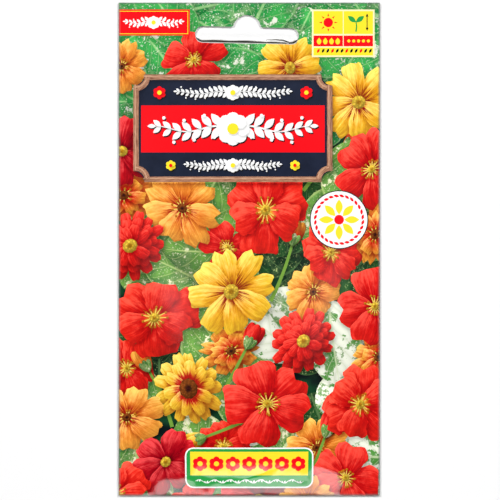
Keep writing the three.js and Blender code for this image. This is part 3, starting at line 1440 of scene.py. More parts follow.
def plaque_outline(
    left: float, low: float, right: float, high: float, radius: float, corner: Corner
) -> Array:
    """A rectangle's outline with rounded or scooped corners.

    Args:
        left: Its left side.
        low: Its lower side.
        right: Its right side.
        high: Its upper side.
        radius: The corners' radius.
        corner: How they are cut.

    Returns:
        The outline, anticlockwise.
    """
    inset = radius if corner is Corner.ROUND else 0.0
    ring = []
    for x, y, start in (
        (right - inset, high - inset, 0), (left + inset, high - inset, 90),
        (left + inset, low + inset, 180), (right - inset, low + inset, 270),
    ):
        turn = start + np.arange(0, 91, 15)
        if corner is Corner.SCOOPED:
            turn = start + 270 - np.arange(0, 91, 15)
        ring.append((x, y) + radius * pointing(np.radians(turn)))
    return np.concatenate(ring)


def round_outline(x: float, y: float, radius: float, steps: int = 40) -> Array:
    """A circle's outline."""
    return (x, y) + radius * pointing(np.linspace(0, 2 * math.pi, steps, endpoint=False))


def ribbon_outline(path: Array, widths: Array) -> Array:
    """The outline of a stroke along a path.

    Args:
        path: The stroke's middle line.
        widths: Its width at each of the line's points.

    Returns:
        The outline.
    """
    ahead = np.gradient(path, axis=0)
    ahead /= np.linalg.norm(ahead, axis=1, keepdims=True)
    side = np.stack((-ahead[:, 1], ahead[:, 0]), 1) * widths[:, None] / 2
    return np.concatenate((path - side, (path + side)[::-1]))


# ---- blossoms


@dataclass(frozen=True)
class Ring:
    """One ring of petals: their number, form and first turn. Lengths are shares of a radius."""

    count: int
    length: float
    width: float
    start: float
    rise: float
    fall: float
    frill: float
    notch: float = 0.0


@dataclass(frozen=True)
class Flower:
    """What a kind of blossom is made of: petals, a disc and stamens, by shares of its radius."""

    petals: Ink
    heart: Ink
    disc: float
    rings: tuple[Ring, ...]
    stamens: int = 0
    reach: float = 0.0


class Bloom(Enum):
    """The kinds of blossom in the print."""

    POPPY = Flower(Ink.PETAL_POPPY, Ink.DISC_GOLD, 0.12, (
        Ring(3, 1.0, 1.02, 10.0, 0.85, 0.26, 0.07, 0.04),
        Ring(3, 0.88, 0.86, 70.0, 0.8, 0.28, 0.07, 0.04),
    ), 13, 0.27)
    ROCKROSE = Flower(Ink.PETAL_SCARLET, Ink.DISC_GOLD, 0.1, (
        Ring(5, 1.0, 0.92, 0.0, 0.9, 0.3, 0.045, 0.08),
    ), 15, 0.24)
    CRIMSON = Flower(Ink.PETAL_CRIMSON, Ink.DISC_GOLD, 0.15, (
        Ring(6, 1.0, 0.74, 0.0, 0.8, 0.3, 0.05),
    ))
    SUNNY = Flower(Ink.PETAL_YELLOW, Ink.DISC_GOLD, 0.17, (
        Ring(8, 1.0, 0.56, 0.0, 0.66, 0.26, 0.045, 0.05),
    ))
    ORANGE = Flower(Ink.PETAL_ORANGE, Ink.DISC_DARK, 0.13, (
        Ring(7, 1.0, 0.68, 12.0, 0.8, 0.28, 0.06, 0.05),
    ), 11, 0.25)
    FLAME = Flower(Ink.PETAL_FLAME, Ink.DISC_DARK, 0.16, (
        Ring(9, 1.0, 0.5, 0.0, 0.62, 0.26, 0.05, 0.1),
        Ring(7, 0.7, 0.44, 17.0, 0.62, 0.26, 0.05, 0.1),
    ), 9, 0.24)
    ZINNIA = Flower(Ink.PETAL_SCARLET, Ink.DISC_GOLD, 0.2, (
        Ring(14, 1.0, 0.34, 0.0, 0.5, 0.26, 0.02), Ring(12, 0.8, 0.32, 13.0, 0.5, 0.26, 0.02),
        Ring(10, 0.6, 0.3, 4.0, 0.5, 0.26, 0.02),
    ))
    BLANKET = Flower(Ink.PETAL_TIPPED, Ink.DISC_DARK, 0.27, (
        Ring(13, 1.0, 0.36, 0.0, 0.5, 0.24, 0.03), Ring(10, 0.78, 0.34, 9.0, 0.5, 0.24, 0.03),
    ))


@dataclass(frozen=True)
class Blossom:
    """A blossom in the print: its kind, middle, radius, turn, and how it leans away."""

    kind: Bloom
    x: float
    y: float
    radius: float
    turn: float = 0.0
    lean: float = 0.9
    lean_turn: float = 0.0

    def draw(self, plan: Plan, chance: random.Random) -> None:
        """Lays the blossom on a plan.

        Args:
            plan: The plan.
            chance: Where its small differences come from.
        """
        flower = self.kind.value
        squash = turned(self.lean_turn) @ np.diag((1.0, self.lean)) @ turned(-self.lean_turn)
        middle = np.array((self.x, self.y))
        kin = chance.random()
        for ring in flower.rings:
            step = 360.0 / ring.count
            for index in range(ring.count):
                plan.shapes.append(Blade(
                    flower.petals, shadow=0.72, reach=0.06 * self.radius, base=middle,
                    turn=self.turn + ring.start + step * index + chance.uniform(-0.1, 0.1) * step,
                    length=ring.length * self.radius * chance.uniform(0.92, 1.05),
                    own=chance.random(), kin=kin,
                    width=ring.width * self.radius * chance.uniform(0.92, 1.06),
                    bend=chance.uniform(-0.05, 0.05), rise=ring.rise, fall=ring.fall,
                    frill=ring.frill, notch=ring.notch, squash=squash, cup=0.75, crown=0.45,
                ))
        for index in range(flower.stamens):
            turn = 360.0 * index / flower.stamens + chance.uniform(-9, 9)
            ahead = squash @ turned(turn) @ np.array((1.0, 0.0))
            tip = middle + ahead * flower.reach * self.radius * chance.uniform(0.8, 1.15)
            path = np.stack((middle, (middle + tip) / 2, tip))
            plan.draw(ribbon_outline(path, np.array((0.5, 0.36, 0.28))), Ink.STAMEN, shadow=0.2)
            plan.shapes.append(Boss(Ink.ANTHER, shadow=0.3, reach=0.25, own=chance.random(),
                                    kin=kin, middle=tip, radius=0.42, steps=7))
        plan.shapes.append(Boss(flower.heart, shadow=0.45, reach=0.5, own=chance.random(), kin=kin,
                                middle=middle, radius=flower.disc * self.radius, squash=squash,
                                frill=0.05))


@dataclass(frozen=True)
class Foliage:
    """A leaf in the print: its base, turn, length, ink, and width as a share of its length."""

    x: float
    y: float
    turn: float
    length: float
    ink: Ink
    plump: float = 0.72

    def draw(self, plan: Plan, chance: random.Random) -> None:
        """Lays the leaf on a plan.

        Args:
            plan: The plan.
            chance: Where its small differences come from.
        """
        plan.shapes.append(Blade(
            self.ink, shadow=0.74, reach=1.3, own=chance.random(), kin=chance.random(),
            turn=self.turn, base=np.array((self.x, self.y)), length=self.length,
            width=self.length * self.plump, rise=0.55, fall=0.62, frill=0.02, crown=0.25,
            bend=chance.uniform(-0.12, 0.12), cup=chance.uniform(-0.3, 0.4),
            fold=chance.uniform(0.05, 0.3) * chance.choice((-1, 1)),
        ))


@dataclass(frozen=True)
class Bud:
    """A bud on a bent stem: the bud's base, its turn, its length and its petals' ink."""

    x: float
    y: float
    turn: float
    length: float
    ink: Ink
    stem: float = 18.0

    def draw(self, plan: Plan, chance: random.Random) -> None:
        """Lays the stem, the petals and the sepals on a plan.

        Args:
            plan: The plan.
            chance: Where its small differences come from.
        """
        base = np.array((self.x, self.y))
        ahead, side = turned(self.turn).T
        share = np.linspace(0, 1, 14)[:, None]
        bow = chance.uniform(-0.3, 0.3) * self.stem
        path = base - ahead * share * self.stem + side * share**2 * bow
        stem = ribbon_outline(path, np.linspace(0.8, 1.2, len(path)))
        plan.draw(stem, Ink.STEM, shadow=0.55, reach=0.7)
        for ink, leans, long, wide in (
            (self.ink, (-13, 13, 0), 1.0, 0.44),
            (Ink.LEAF_GRASS, (-24, 24, 0), 0.5, 0.22),
        ):
            for lean in leans:
                plan.shapes.append(Blade(
                    ink, shadow=0.5, reach=0.35, own=chance.random(), kin=chance.random(),
                    turn=self.turn + lean, base=base, length=long * self.length,
                    width=wide * self.length, rise=0.6, fall=0.5, cup=0.2, crown=0.9,
                ))


# ---- front print


class Garden:
    """The picture that fills the packet's front: blossoms of several kinds among leaves."""

    BUDS = tuple(Bud(*row) for row in (
        (-1, -30.5, 62, 8.5, Ink.PETAL_SCARLET), (13, 1, 75, 8, Ink.PETAL_FLAME),
        (-30.5, -37.5, 120, 8, Ink.PETAL_ORANGE), (23, -57.5, 70, 8.5, Ink.PETAL_SCARLET),
        (-13, -57, 200, 7.5, Ink.PETAL_YELLOW), (29, 31, 40, 7.5, Ink.PETAL_FLAME),
    ))

    BEHIND = tuple(Blossom(*row) for row in (
        (Bloom.FLAME, -5.5, -31, 9.5, 10, 0.8, 20), (Bloom.ORANGE, 19.5, -13, 10, 33, 0.8, 60),
        (Bloom.POPPY, -37.5, -36.5, 10, 5, 0.85, 100),
        (Bloom.ORANGE, 20.5, -60.5, 10.5, 0, 0.85, 30), (Bloom.FLAME, 38.5, 4.5, 10, 15, 0.85, 80),
        (Bloom.FLAME, -38.5, 16.5, 10.5, 21, 0.85, 10),
        (Bloom.ROCKROSE, -6.5, 0.5, 10, 30, 0.75, 150), (Bloom.POPPY, -8, -60, 10, 52, 0.8, 10),
        (Bloom.FLAME, 39.5, -33, 9, 0, 0.85, 60),
    ))

    BLOSSOMS = tuple(Blossom(*row) for row in (
        (Bloom.ROCKROSE, -17, 58, 10.5, 20, 0.8, 30),
        (Bloom.SUNNY, 12.5, 55.5, 11.5, 50, 0.85, 100), (Bloom.ORANGE, -39, 56, 8.5, 5, 0.9, 60),
        (Bloom.SUNNY, 33.5, 45, 12.5, 8, 0.95, 20), (Bloom.CRIMSON, -39, 30, 12, 25),
        (Bloom.ROCKROSE, 37.5, 24.5, 12.5, 0, 0.85, 60),
        (Bloom.ORANGE, -20.5, 12.5, 12.5, 30, 0.85, 140),
        (Bloom.ZINNIA, -36.5, 1, 11.5, 0, 0.9, 30), (Bloom.POPPY, 5, 12, 13.5, 20, 0.9, 80),
        (Bloom.POPPY, 25, -1, 10, 4, 0.85, 120), (Bloom.ROCKROSE, 38.5, -17.5, 12.5, 40, 0.9, 100),
        (Bloom.POPPY, -29, -21, 13.5, 15, 0.88, 10), (Bloom.SUNNY, -5.5, -13, 14, 11, 0.95, 60),
        (Bloom.ZINNIA, 16.5, -28, 10.5, 7, 0.9, 40),
        (Bloom.BLANKET, -18.5, -42.5, 11.5, 3, 0.9, 100),
        (Bloom.ROCKROSE, 5.5, -47, 14, 44, 0.92, 0),
        (Bloom.ORANGE, -37.5, -51.5, 11.5, 9, 0.85, 20),
        (Bloom.POPPY, 34, -47.5, 12.5, 66, 0.9, 70),
        (Bloom.CRIMSON, -25.5, -65, 11.5, 20, 0.85, 50),
        (Bloom.ROCKROSE, 29.5, -70, 11.5, 0, 0.88, 120), (Bloom.POPPY, -41, -75, 11, 33),
        (Bloom.CRIMSON, 3, -76.5, 11.5, 0), (Bloom.ORANGE, 17.5, -77, 8.5, 20),
        (Bloom.ROCKROSE, -15.5, -80.5, 10, 18),
    ))

    def draw(self, plan: Plan) -> None:
        """Lays the leaves, the buds and the blossoms on a plan."""
        chance = random.Random(2024)
        for growth in (*self._leaves(chance), *self.BEHIND, *self.BUDS, *self.BLOSSOMS):
            growth.draw(plan, chance)

    @staticmethod
    def _leaves(chance: random.Random) -> list[Foliage]:
        """Spreads leaves over the picture: dark ones behind bright and marbled ones.

        Args:
            chance: Where their small differences come from.

        Returns:
            The leaves, the backmost first.
        """
        found = [
            Foliage(-46.0, 70.0, -2, 60.0, Ink.LEAF_BRIGHT, 0.5),
            Foliage(46.0, 64.0, 176, 58.0, Ink.LEAF_BRIGHT, 0.6),
            Foliage(47.0, 72.0, 184, 34.0, Ink.LEAF_BRIGHT, 0.7),
        ]
        for front, pitch, length, low in (
            (False, 15.0, 21.0, -99), (False, 12.0, 18.0, 40), (True, 15.5, 24.0, -99)
        ):
            for row in range(int(151 / pitch) + 1):
                for column in range(int(80 / pitch) + 1):
                    x = -40 + pitch * (column + 0.5 * (row % 2)) + chance.uniform(-4, 4)
                    y = -75.5 + pitch * row + chance.uniform(-4, 4)
                    turn = chance.uniform(0, 360)
                    size = length * chance.uniform(0.8, 1.2)
                    plump = chance.uniform(0.6, 0.85)
                    skipped = chance.random() < 0.3
                    marbled = x > 6 and y < 0
                    header = y > 40
                    if y < low or (front and skipped and not (header or marbled)):
                        continue
                    ink = Ink.LEAF_GRASS if front else Ink.LEAF_DARK
                    if header:
                        ink = Ink.LEAF_BRIGHT
                    elif front and marbled:
                        ink = Ink.LEAF_MARBLED
                    found.append(Foliage(x, y, turn, size, ink, plump))
        return found


class Motif:
    """Small generic ornaments and pictograms, drawn on a plan in one or two inks."""

    def __init__(self, plan: Plan, only: Union[Ink, None] = None, shift: Point = (0.0, 0.0),
                 **cast: float) -> None:
        """Starts a set of ornaments.

        Args:
            plan: The plan that they go on.
            only: The one ink that all of them take in place of their own.
            shift: How far all of them are moved.
            cast: The shadow that each of them casts.
        """
        self.plan = plan
        self.only = only
        self.shift = np.array(shift)
        self.cast = cast

    def draw(self, outline: Array, ink: Ink) -> None:
        """Lays one shape of an ornament."""
        self.plan.draw(outline + self.shift, self.only or ink, **self.cast)

    def leaflet(self, x: float, y: float, turn: float, length: float, ink: Ink) -> None:
        """Lays one pointed leaflet.

        Args:
            x: Its base on the plan.
            y: The height of its base there.
            turn: Its direction, in degrees.
            length: Its length.
            ink: Its ink.
        """
        share = np.linspace(0, 1, 9)
        side = 0.24 * length * np.sin(math.pi * share) ** 0.9
        ring = np.concatenate(
            (np.stack((share * length, side), 1), np.stack((share * length, -side), 1)[::-1][1:-1])
        )
        self.draw(ring @ turned(turn).T + np.array((x, y)), ink)

    def vine(
        self, left: float, right: float, y: float, sway: float, waves: int, ink: Ink, width: float
    ) -> None:
        """Lays a vine: a swaying stem with a leaflet on each side at every turn.

        Args:
            left: Where the stem starts.
            right: Where it ends.
            y: The height of its middle line.
            sway: How far it swings to each side.
            waves: Its number of swings.
            ink: Its ink.
            width: The stem's width.
        """
        share = np.linspace(0, 1, 16 * waves + 1)
        xs = left + (right - left) * share
        swing = np.sin(share * math.pi * waves)
        widths = width * (0.35 + 0.65 * np.sin(math.pi * share) ** 0.5)
        self.draw(ribbon_outline(np.stack((xs, y + sway * swing), 1), widths), ink)
        pitch = (right - left) / waves
        for index in range(waves):
            side = 1 if index % 2 == 0 else -1
            middle = left + pitch * (index + 0.5)
            size = sway * 2.1 * (0.75 + 0.25 * math.sin(math.pi * (index + 0.5) / waves))
            self.leaflet(middle, y + side * sway, -side * 12, size, ink)
            self.leaflet(middle, y + side * sway, -side * 62, size * 0.95, ink)
            self.leaflet(middle - 0.1 * pitch, y + side * sway, -side * 128, size * 0.85, ink)

    def garland(self, x: float, y: float, half: float, size: float, ink: Ink) -> None:
        """Lays a posy with a spray of paired leaflets and berries on each side of it.

        Args:
            x: The posy's middle.
            y: Its height on the plan.
            half: How far each spray reaches.
            size: The largest leaflet's length.
            ink: The ink of all but the posy's heart.
        """
        for side in (-1, 1):
            share = np.linspace(0, 1, 40)
            xs = x + side * half * share
            ys = y + 0.16 * size * np.sin(share * 2.5 * math.pi)
            widths = size * (0.13 - 0.09 * share)
            self.draw(ribbon_outline(np.stack((xs, ys), 1), widths), ink)
            pairs = max(4, round(half / (0.62 * size)))
            for index in range(pairs):
                along = (index + 1.1) / (pairs + 0.6)
                at = (x + side * half * along, y + 0.16 * size * math.sin(along * 2.5 * math.pi))
                long = size * (1.0 - 0.45 * along)
                for up in (-1, 1):
                    lean = up * (52 - 14 * along)
                    self.leaflet(*at, lean if side > 0 else 180 - lean, long, ink)
                if index < pairs - 1:
                    berry = at[0] + side * 0.42 * size, at[1] + (index % 2 * 2 - 1) * 0.62 * size
                    self.draw(round_outline(*berry, 0.1 * size, 10), ink)
            self.leaflet(x + side * half, ys[-1], 0 if side > 0 else 180, 0.5 * size, ink)
        self.posy(x, y, 0.95 * size, ink, Ink.YELLOW, 8)

    def posy(
        self, x: float, y: float, radius: float, ink: Ink, heart: Ink, petals: int = 6
    ) -> None:
        """Lays a small blossom of round petals.

        Args:
            x: Its middle on the plan.
            y: The height of its middle there.
            radius: Its radius.
            ink: The petals' ink.
            heart: The ink of its middle.
            petals: Their number.
        """
        for index in range(petals):
            turn = 2 * math.pi * index / petals + math.pi / 2
            at = (x + 0.58 * radius * math.cos(turn), y + 0.58 * radius * math.sin(turn))
            self.draw(round_outline(*at, 0.42 * radius, 12), ink)
        self.draw(round_outline(x, y, 0.34 * radius, 14), heart)

    def sun(self, x: float, y: float, radius: float, ink: Ink) -> None:
        """Lays a sun with short rays.

        Args:
            x: Its middle on the plan.
            y: The height of its middle there.
            radius: How far the rays reach.
            ink: Its ink.
        """
        self.draw(round_outline(x, y, 0.5 * radius, 20), ink)
        for index in range(8):
            turn = index * 45.0
            ray = np.array(((0.66, -0.09), (1.0, 0.0), (0.66, 0.09))) * radius
            self.draw(ray @ turned(turn).T + np.array((x, y)), ink)

    def sprout(self, x: float, y: float, height: float, ink: Ink) -> None:
        """Lays a young plant with two leaves.

        Args:
            x: Its place on the plan.
            y: The height of its foot there.
            height: Its own height.
            ink: Its ink.
        """
        path = np.array(((x, y), (x + 0.04 * height, y + 0.3 * height), (x, y + 0.62 * height)))
        self.draw(ribbon_outline(path, np.array((0.5, 0.42, 0.3))), ink)
        for turn in (38, 142):
            self.leaflet(x, y + 0.55 * height, turn, 0.6 * height, ink)

    def drop(self, x: float, y: float, height: float, ink: Ink) -> None:
        """Lays a drop of water.

        Args:
            x: Its middle on the plan.
            y: The height of its middle there.
            height: Its own height.
            ink: Its ink.
        """
        angle = np.linspace(-0.5 * math.pi, 1.5 * math.pi, 20, endpoint=False)
        pinch = 1 - np.maximum(np.sin(angle), 0.0) ** 1.5
        ring = np.stack((np.cos(angle) * 0.34 * pinch, np.sin(angle) * 0.5), 1) * height
        self.draw(ring + np.array((x, y)), ink)


class FrontPrint:
    """The packet's front: the garden picture, and the labels laid on it."""

    SHADE = {"shadow": 0.45, "reach": 0.8}

    def __init__(self, slot: HangSlot) -> None:
        """Draws the whole front on a plan.

        Args:
            slot: The hang slot.
        """
        self.plan = Plan(slot.outline(burred=True), Ink.THICKET)
        self.motif = Motif(self.plan)
        Garden().draw(self.plan)
        self._lip(slot)
        self._tab()
        self._facts()
        self._title()
        self._badge()
        self._foot_label()

    def _lip(self, slot: HangSlot) -> None:
        """Lays the white lip along the slot's lower edge, with painted shade along its crease and
        along the edge of its fold.

        Args:
            slot: The hang slot.
        """
        edge, outward = slot.lower_edge()
        deep = slot.burr()[:, None]
        band = np.concatenate((edge, (edge - outward * (deep + 0.6))[::-1]))
        self.plan.draw(slot.placed(band), Ink.WHITE)
        x = edge[:, 0]
        thick = 0.5 + 0.07 * np.sin(x * 0.7 + 2.0)
        thick -= 0.16 * np.clip((x - 4) / 2, 0, 1) * np.clip((13 - x) / 2, 0, 1)
        thick *= np.clip((slot.width / 2 - np.abs(x)) / 0.9, 0.1, 1)
        # painted shade along the crease of the lip
        self._soft_line(slot.placed(edge - outward * thick[:, None] * 0.5), thick)
        start, stop, _ = slot.flap
        folded = (x > start) & (x < stop + 2.0)
        crest = (edge - outward * (deep - 0.2))[folded]
        # painted shade along the edge of the fold
        self._soft_line(slot.placed(crest), np.linspace(0.1, 0.42, len(crest)))

    def _soft_line(self, path: Array, widths: Array) -> None:
        """Lays a line of painted shade that is dark in the middle and fades to both sides.

        Args:
            path: The line.
            widths: Its width at each of its points.
        """
        for ink, share, less in (
            (Ink.LIP_PALE, 2.2, 0.0), (Ink.LIP_GREY, 1.5, 0.02), (Ink.LIP_DARK, 1.05, 0.1)
        ):
            self.plan.draw(ribbon_outline(path, np.maximum(widths * share - less, 0.02)), ink)

    def _tab(self) -> None:
        """Lays the red tab at the upper left."""
        self.plan.box(-40, 65.4, -18.2, 73.4, Ink.RED, **self.SHADE)
        self.plan.box(-40, 65.85, -18.7, 72.95, Ink.YELLOW)
        self.plan.box(-40, 66.05, -18.9, 72.75, Ink.RED)
        self.motif.garland(-29.3, 69.4, 8.4, 2.1, Ink.WHITE)

    def _facts(self) -> None:
        """Lays the panel of pictograms at the upper right."""
        left, right = 19.2, 38.4
        self.plan.box(left, 58.8, right, 73.4, Ink.CREAM, **self.SHADE)
        middle = (left + right) / 2
        for start, end in ((left + 0.5, middle - 0.12), (middle + 0.12, right - 0.5)):
            self.plan.box(start, 65.9, end, 72.9, Ink.YELLOW)
            self.plan.box(start, 62.1, end, 65.4, Ink.RED)
        self.plan.box(left + 0.5, 59.3, right - 0.5, 61.7, Ink.YELLOW)
        self.motif.sun(left + 5.0, 69.4, 2.9, Ink.RED)
        self.motif.sprout(middle + 3.9, 66.6, 5.2, Ink.GREEN)
        self._measure(right - 2.3, 66.8, 72.2)
        for index in range(4):
            self.motif.drop(left + 2.2 + 1.9 * index, 63.75, 2.1, Ink.YELLOW)
        for index in range(5):
            self.plan.draw(round_outline(middle + 1.7 + 1.5 * index, 63.75, 0.48, 14), Ink.YELLOW)
        for index in range(12):
            at = left + 1.6 + 1.45 * index
            self.motif.leaflet(at, 60.1, 60, 1.5, Ink.BLACK if index % 3 else Ink.RED)

    def _measure(self, x: float, low: float, high: float) -> None:
        """Lays an upright line with an arrowhead at each end.

        Args:
            x: Its place on the plan.
            low: Its lower end.
            high: Its upper end.
        """
        self.plan.box(x - 0.13, low + 0.3, x + 0.13, high - 0.3, Ink.BLACK)
        for tip, way in ((low, 1), (high, -1)):
            head = np.array(((0, 0), (0.45, 1.0 * way), (-0.45, 1.0 * way)))
            self.plan.draw(head + np.array((x, tip)), Ink.BLACK)

    def _title(self) -> None:
        """Lays the slate plaque with its wooden rim and red band."""
        left, low, right, high = -35.5, 20.5, 25.5, 53.5
        radius, rim = 3.4, 1.7
        outer = plaque_outline(left, low, right, high, radius, Corner.SCOOPED)
        self.plan.draw(outer, Ink.SLATE, shadow=0.7, reach=1.5)
        self.plan.box(left + 2.4, 29.6, right - 2.4, 44.0, Ink.RED)
        middle = (left + right) / 2
        for motif in (
            Motif(self.plan, Ink.BLACK, (0.3, -0.38)), Motif(self.plan, shadow=0.4, reach=0.2),
        ):
            motif.garland(middle, 36.8, 23.5, 5.4, Ink.WHITE)
            motif.garland(middle, 47.9, 17.0, 2.5, Ink.WHITE)
            motif.garland(middle, 25.6, 14.0, 2.3, Ink.WHITE)
            for side in (-1, 1):
                motif.posy(middle + side * 22.5, 47.9, 2.0, Ink.RED, Ink.YELLOW)
                motif.posy(middle + side * 19.0, 25.6, 1.6, Ink.YELLOW, Ink.RED)
        self._rim(left + rim / 2, low + rim / 2, right - rim / 2, high - rim / 2, radius, rim)

    def _rim(
        self, left: float, low: float, right: float, high: float, radius: float, width: float
    ) -> None:
        """Lays a wooden rim of four rails and four scooped corners along a line.

        Args:
            left: The line's left side.
            low: Its lower side.
            right: Its right side.
            high: Its upper side.
            radius: The corners' radius.
            width: The rim's width.
        """
        ring = plaque_outline(left, low, right, high, radius, Corner.SCOOPED)
        corners = ring.reshape(4, -1, 2)
        for index in range(4):
            bend = corners[index]
            rail = np.stack((bend[-1], corners[(index + 1) % 4][0]))
            for path, turn in ((rail, 90.0 * ((index + 1) % 2 == 0)), (bend, 45.0)):
                grown = path.copy()
                if len(path) == 2:
                    ahead = (path[1] - path[0]) / np.linalg.norm(path[1] - path[0])
                    grown = np.stack((path[0] - ahead * width / 2, path[1] + ahead * width / 2))
                stroke = ribbon_outline(grown, np.full(len(grown), width))
                self.plan.draw(stroke, Ink.RAIL, turn=turn, own=0.1 * index, shadow=0.5, reach=0.45)
                line = ribbon_outline(grown + np.array((-0.25, 0.3)), np.full(len(grown), 0.35))
                self.plan.draw(line, Ink.RAIL_EDGE, turn=turn)

    def _badge(self) -> None:
        """Lays the round white badge."""
        x, y, radius = 27.5, 9.0, 9.0
        self.plan.draw(round_outline(x, y, radius, 60), Ink.BLACK, shadow=0.5, reach=0.9)
        self.plan.draw(round_outline(x, y, radius - 0.3, 60), Ink.WHITE)
        for index in range(28):
            turn = index * 360.0 / 28
            at = turned(turn) @ np.array((radius - 1.9, 0.0))
            self.motif.leaflet(x + at[0], y + at[1], turn + 78, 1.7, Ink.RED)
        for index in range(8):
            turn = index * 45.0
            at = turned(turn) @ np.array((1.6, 0.0))
            self.motif.leaflet(x + at[0], y + at[1], turn, 4.6, Ink.YELLOW)
        self.plan.draw(round_outline(x, y, 1.5, 24), Ink.RED)

    def _foot_label(self) -> None:
        """Lays the green and yellow label at the foot."""
        left, low, right, high = -19.6, -73.2, 19.6, -60.4
        for inset, ink in ((0.0, Ink.WHITE), (0.45, Ink.GREEN)):
            ring = plaque_outline(left + inset, low + inset, right - inset, high - inset,
                                  2.6 - inset, Corner.ROUND)
            self.plan.draw(ring, ink, **(self.SHADE if inset == 0 else {}))
        self.plan.box(left + 1.6, -69.2, right - 1.6, high - 1.3, Ink.YELLOW)
        for index in range(7):
            self.motif.posy(left + 4.6 + 5.0 * index, -65.5, 2.35, Ink.RED, Ink.YELLOW)
        self.motif.vine(left + 3.0, right - 3.0, -71.1, 0.5, 14, Ink.WHITE, 0.28)


# ---- back print


class BackPrint:
    """The packet's back: a heading, sowing pictures, a calendar and rows of plain rules."""

    def __init__(self, hole: Array) -> None:
        """Draws the whole back on a plan.

        Args:
            hole: The outline of the hang slot, as the back is read.
        """
        self.plan = Plan(hole, Ink.BACK_FIELD)
        self.motif = Motif(self.plan)
        self.plan.band(42.0, 56.0, Ink.BACK_GREEN)
        self.plan.band(41.0, 41.6, Ink.BACK_YELLOW)
        self.motif.vine(-30, 30, 49.0, 2.4, 9, Ink.BACK_WHITE, 0.9)
        self._rules(-34, 34, 36.5, 5)
        self._pictures()
        self._calendar()
        self._rules(-34, 34, -42.0, 6)
        self.plan.band(-70.0, -67.5, Ink.BACK_GREEN)

    def _rules(self, left: float, right: float, top: float, count: int) -> None:
        """Lays rows of thin rules of uneven length, the last one short.

        Args:
            left: Where the rows start.
            right: Where the longest could end.
            top: The first row's height on the plan.
            count: The number of rows.
        """
        chance = random.Random(5)
        for index in range(count):
            y = top - 2.6 * index
            end = right - chance.uniform(0, 3) if index < count - 1 else left + 30
            at = left
            while at < end:
                stop = min(at + chance.uniform(3, 8), end)
                self.plan.box(at, y, stop, y + 0.75, Ink.BACK_GREY)
                at = stop + 0.9

    def _pictures(self) -> None:
        """Lays three pictures: a seed in the soil, a sprout, and a plant in flower."""
        for index, x in enumerate((-23.0, 0.0, 23.0)):
            card = plaque_outline(x - 9.5, 2.0, x + 9.5, 20.5, 1.5, Corner.ROUND)
            self.plan.draw(card, Ink.BACK_PALE)
            self.plan.box(x - 8.0, 3.5, x + 8.0, 8.6, Ink.BACK_BROWN)
            if index == 0:
                self.plan.draw(round_outline(x, 6.4, 1.2, 18), Ink.BACK_YELLOW)
            else:
                self.motif.sprout(x, 8.6, 6.5 + 0.5 * index, Ink.BACK_GREEN)
            if index == 2:
                self.motif.posy(x, 15.6, 3.0, Ink.BACK_RED, Ink.BACK_YELLOW)

    def _calendar(self) -> None:
        """Lays a year's calendar: twelve boxes a row, with a bar for each kind of work."""
        left, cell, tall = -31.0, 5.2, 5.0
        for row, (ink, start, end) in enumerate(
            ((Ink.BACK_YELLOW, 3, 5), (Ink.BACK_GREEN, 4, 6), (Ink.BACK_RED, 5, 9))
        ):
            low = -12.0 - (tall + 1.2) * row
            for column in range(12):
                x = left + cell * column
                self.plan.box(x, low, x + cell - 0.5, low + tall, Ink.BACK_PALE)
            first, last = left + cell * start, left + cell * end - 0.5
            self.plan.box(first, low + 1.2, last, low + tall - 1.2, ink)


# ---- webs


@dataclass(frozen=True)
class HangSlot:
    """The hang slot: a long slot with round ends and a low dome, in millimetres."""

    width: float = 31.8
    height: float = 4.8
    dome_radius: float = 4.3
    dome_rise: float = 1.8
    fillet: float = 0.8
    middle: Point = (-0.7, 65.6)
    tilt: float = -1.3
    lip: float = 0.8
    flap: tuple[float, float, float] = (5.6, 11.0, 0.45)

    def placed(self, points: Array) -> Array:
        """Where points of the slot's own frame are on the plan."""
        return points @ turned(self.tilt).T + np.array(self.middle)

    def lower_edge(self) -> tuple[Array, Array]:
        """The slot's lower edge from left to right.

        Returns:
            Its points, and the way out of the opening at each of them.
        """
        end = self.height / 2
        reach = self.width / 2 - end
        bend, run = 12, 90
        left, right = np.linspace(195, 268, bend), np.linspace(272, 345, bend)
        outward = pointing(np.radians(np.concatenate((left, np.full(run, 270.0), right))))
        past = reach * len(outward) / run
        centre = np.zeros_like(outward)
        centre[:, 0] = np.clip(np.linspace(-past, past, len(outward)), -reach, reach)
        return centre + outward * end, outward

    def burr(self) -> Array:
        """How far the paper's lip reaches into the opening along the lower edge.

        Returns:
            The reach at each of the edge's points.
        """
        x = self.lower_edge()[0][:, 0]
        start, stop, extra = self.flap
        waves = self.lip + 0.05 * np.sin(x * 0.8 + 0.6) + 0.03 * np.sin(x * 2.3)
        folded = extra * np.clip((x - start) / 0.6, 0, 1) * np.clip((stop + 1.5 - x) / 1.5, 0, 1)
        return (waves + folded) * np.clip((self.width / 2 - np.abs(x)) / 0.5, 0, 1)

    def outline(self, burred: bool = False) -> Array:
        """The slot's outline, anticlockwise.

        Args:
            burred: Whether its lower edge has the lip that the punch left.

        Returns:
            The outline, on the plan.
        """
        end, rise = self.height / 2, self.dome_rise
        reach = self.width / 2 - end
        fillet_y = end + self.fillet
        fillet_x = math.sqrt((self.dome_radius + self.fillet) ** 2 - (fillet_y - rise) ** 2)
        meet = math.atan2(fillet_y - rise, fillet_x)
        low = math.radians(15 if burred else 90)
        ring = []
        for x, y, radius, start, stop, steps in (
            (reach, 0, end, -low, math.pi / 2, 14),
            (fillet_x, fillet_y, self.fillet, -math.pi / 2, -math.pi + meet, 5),
            (0, rise, self.dome_radius, meet, math.pi - meet, 18),
            (-fillet_x, fillet_y, self.fillet, -meet, -math.pi / 2, 5),
            (-reach, 0, end, math.pi / 2, math.pi + low, 14),
        ):
            ring.append((x, y) + radius * pointing(np.linspace(start, stop, steps + 1)))
        if burred:
            edge, outward = self.lower_edge()
            ring.append((edge - outward * self.burr()[:, None])[1:-1])
        return self.placed(np.concatenate(ring))


class Side(Enum):
    """Which face of a web is printed."""

    UPPER = 1
    LOWER = -1


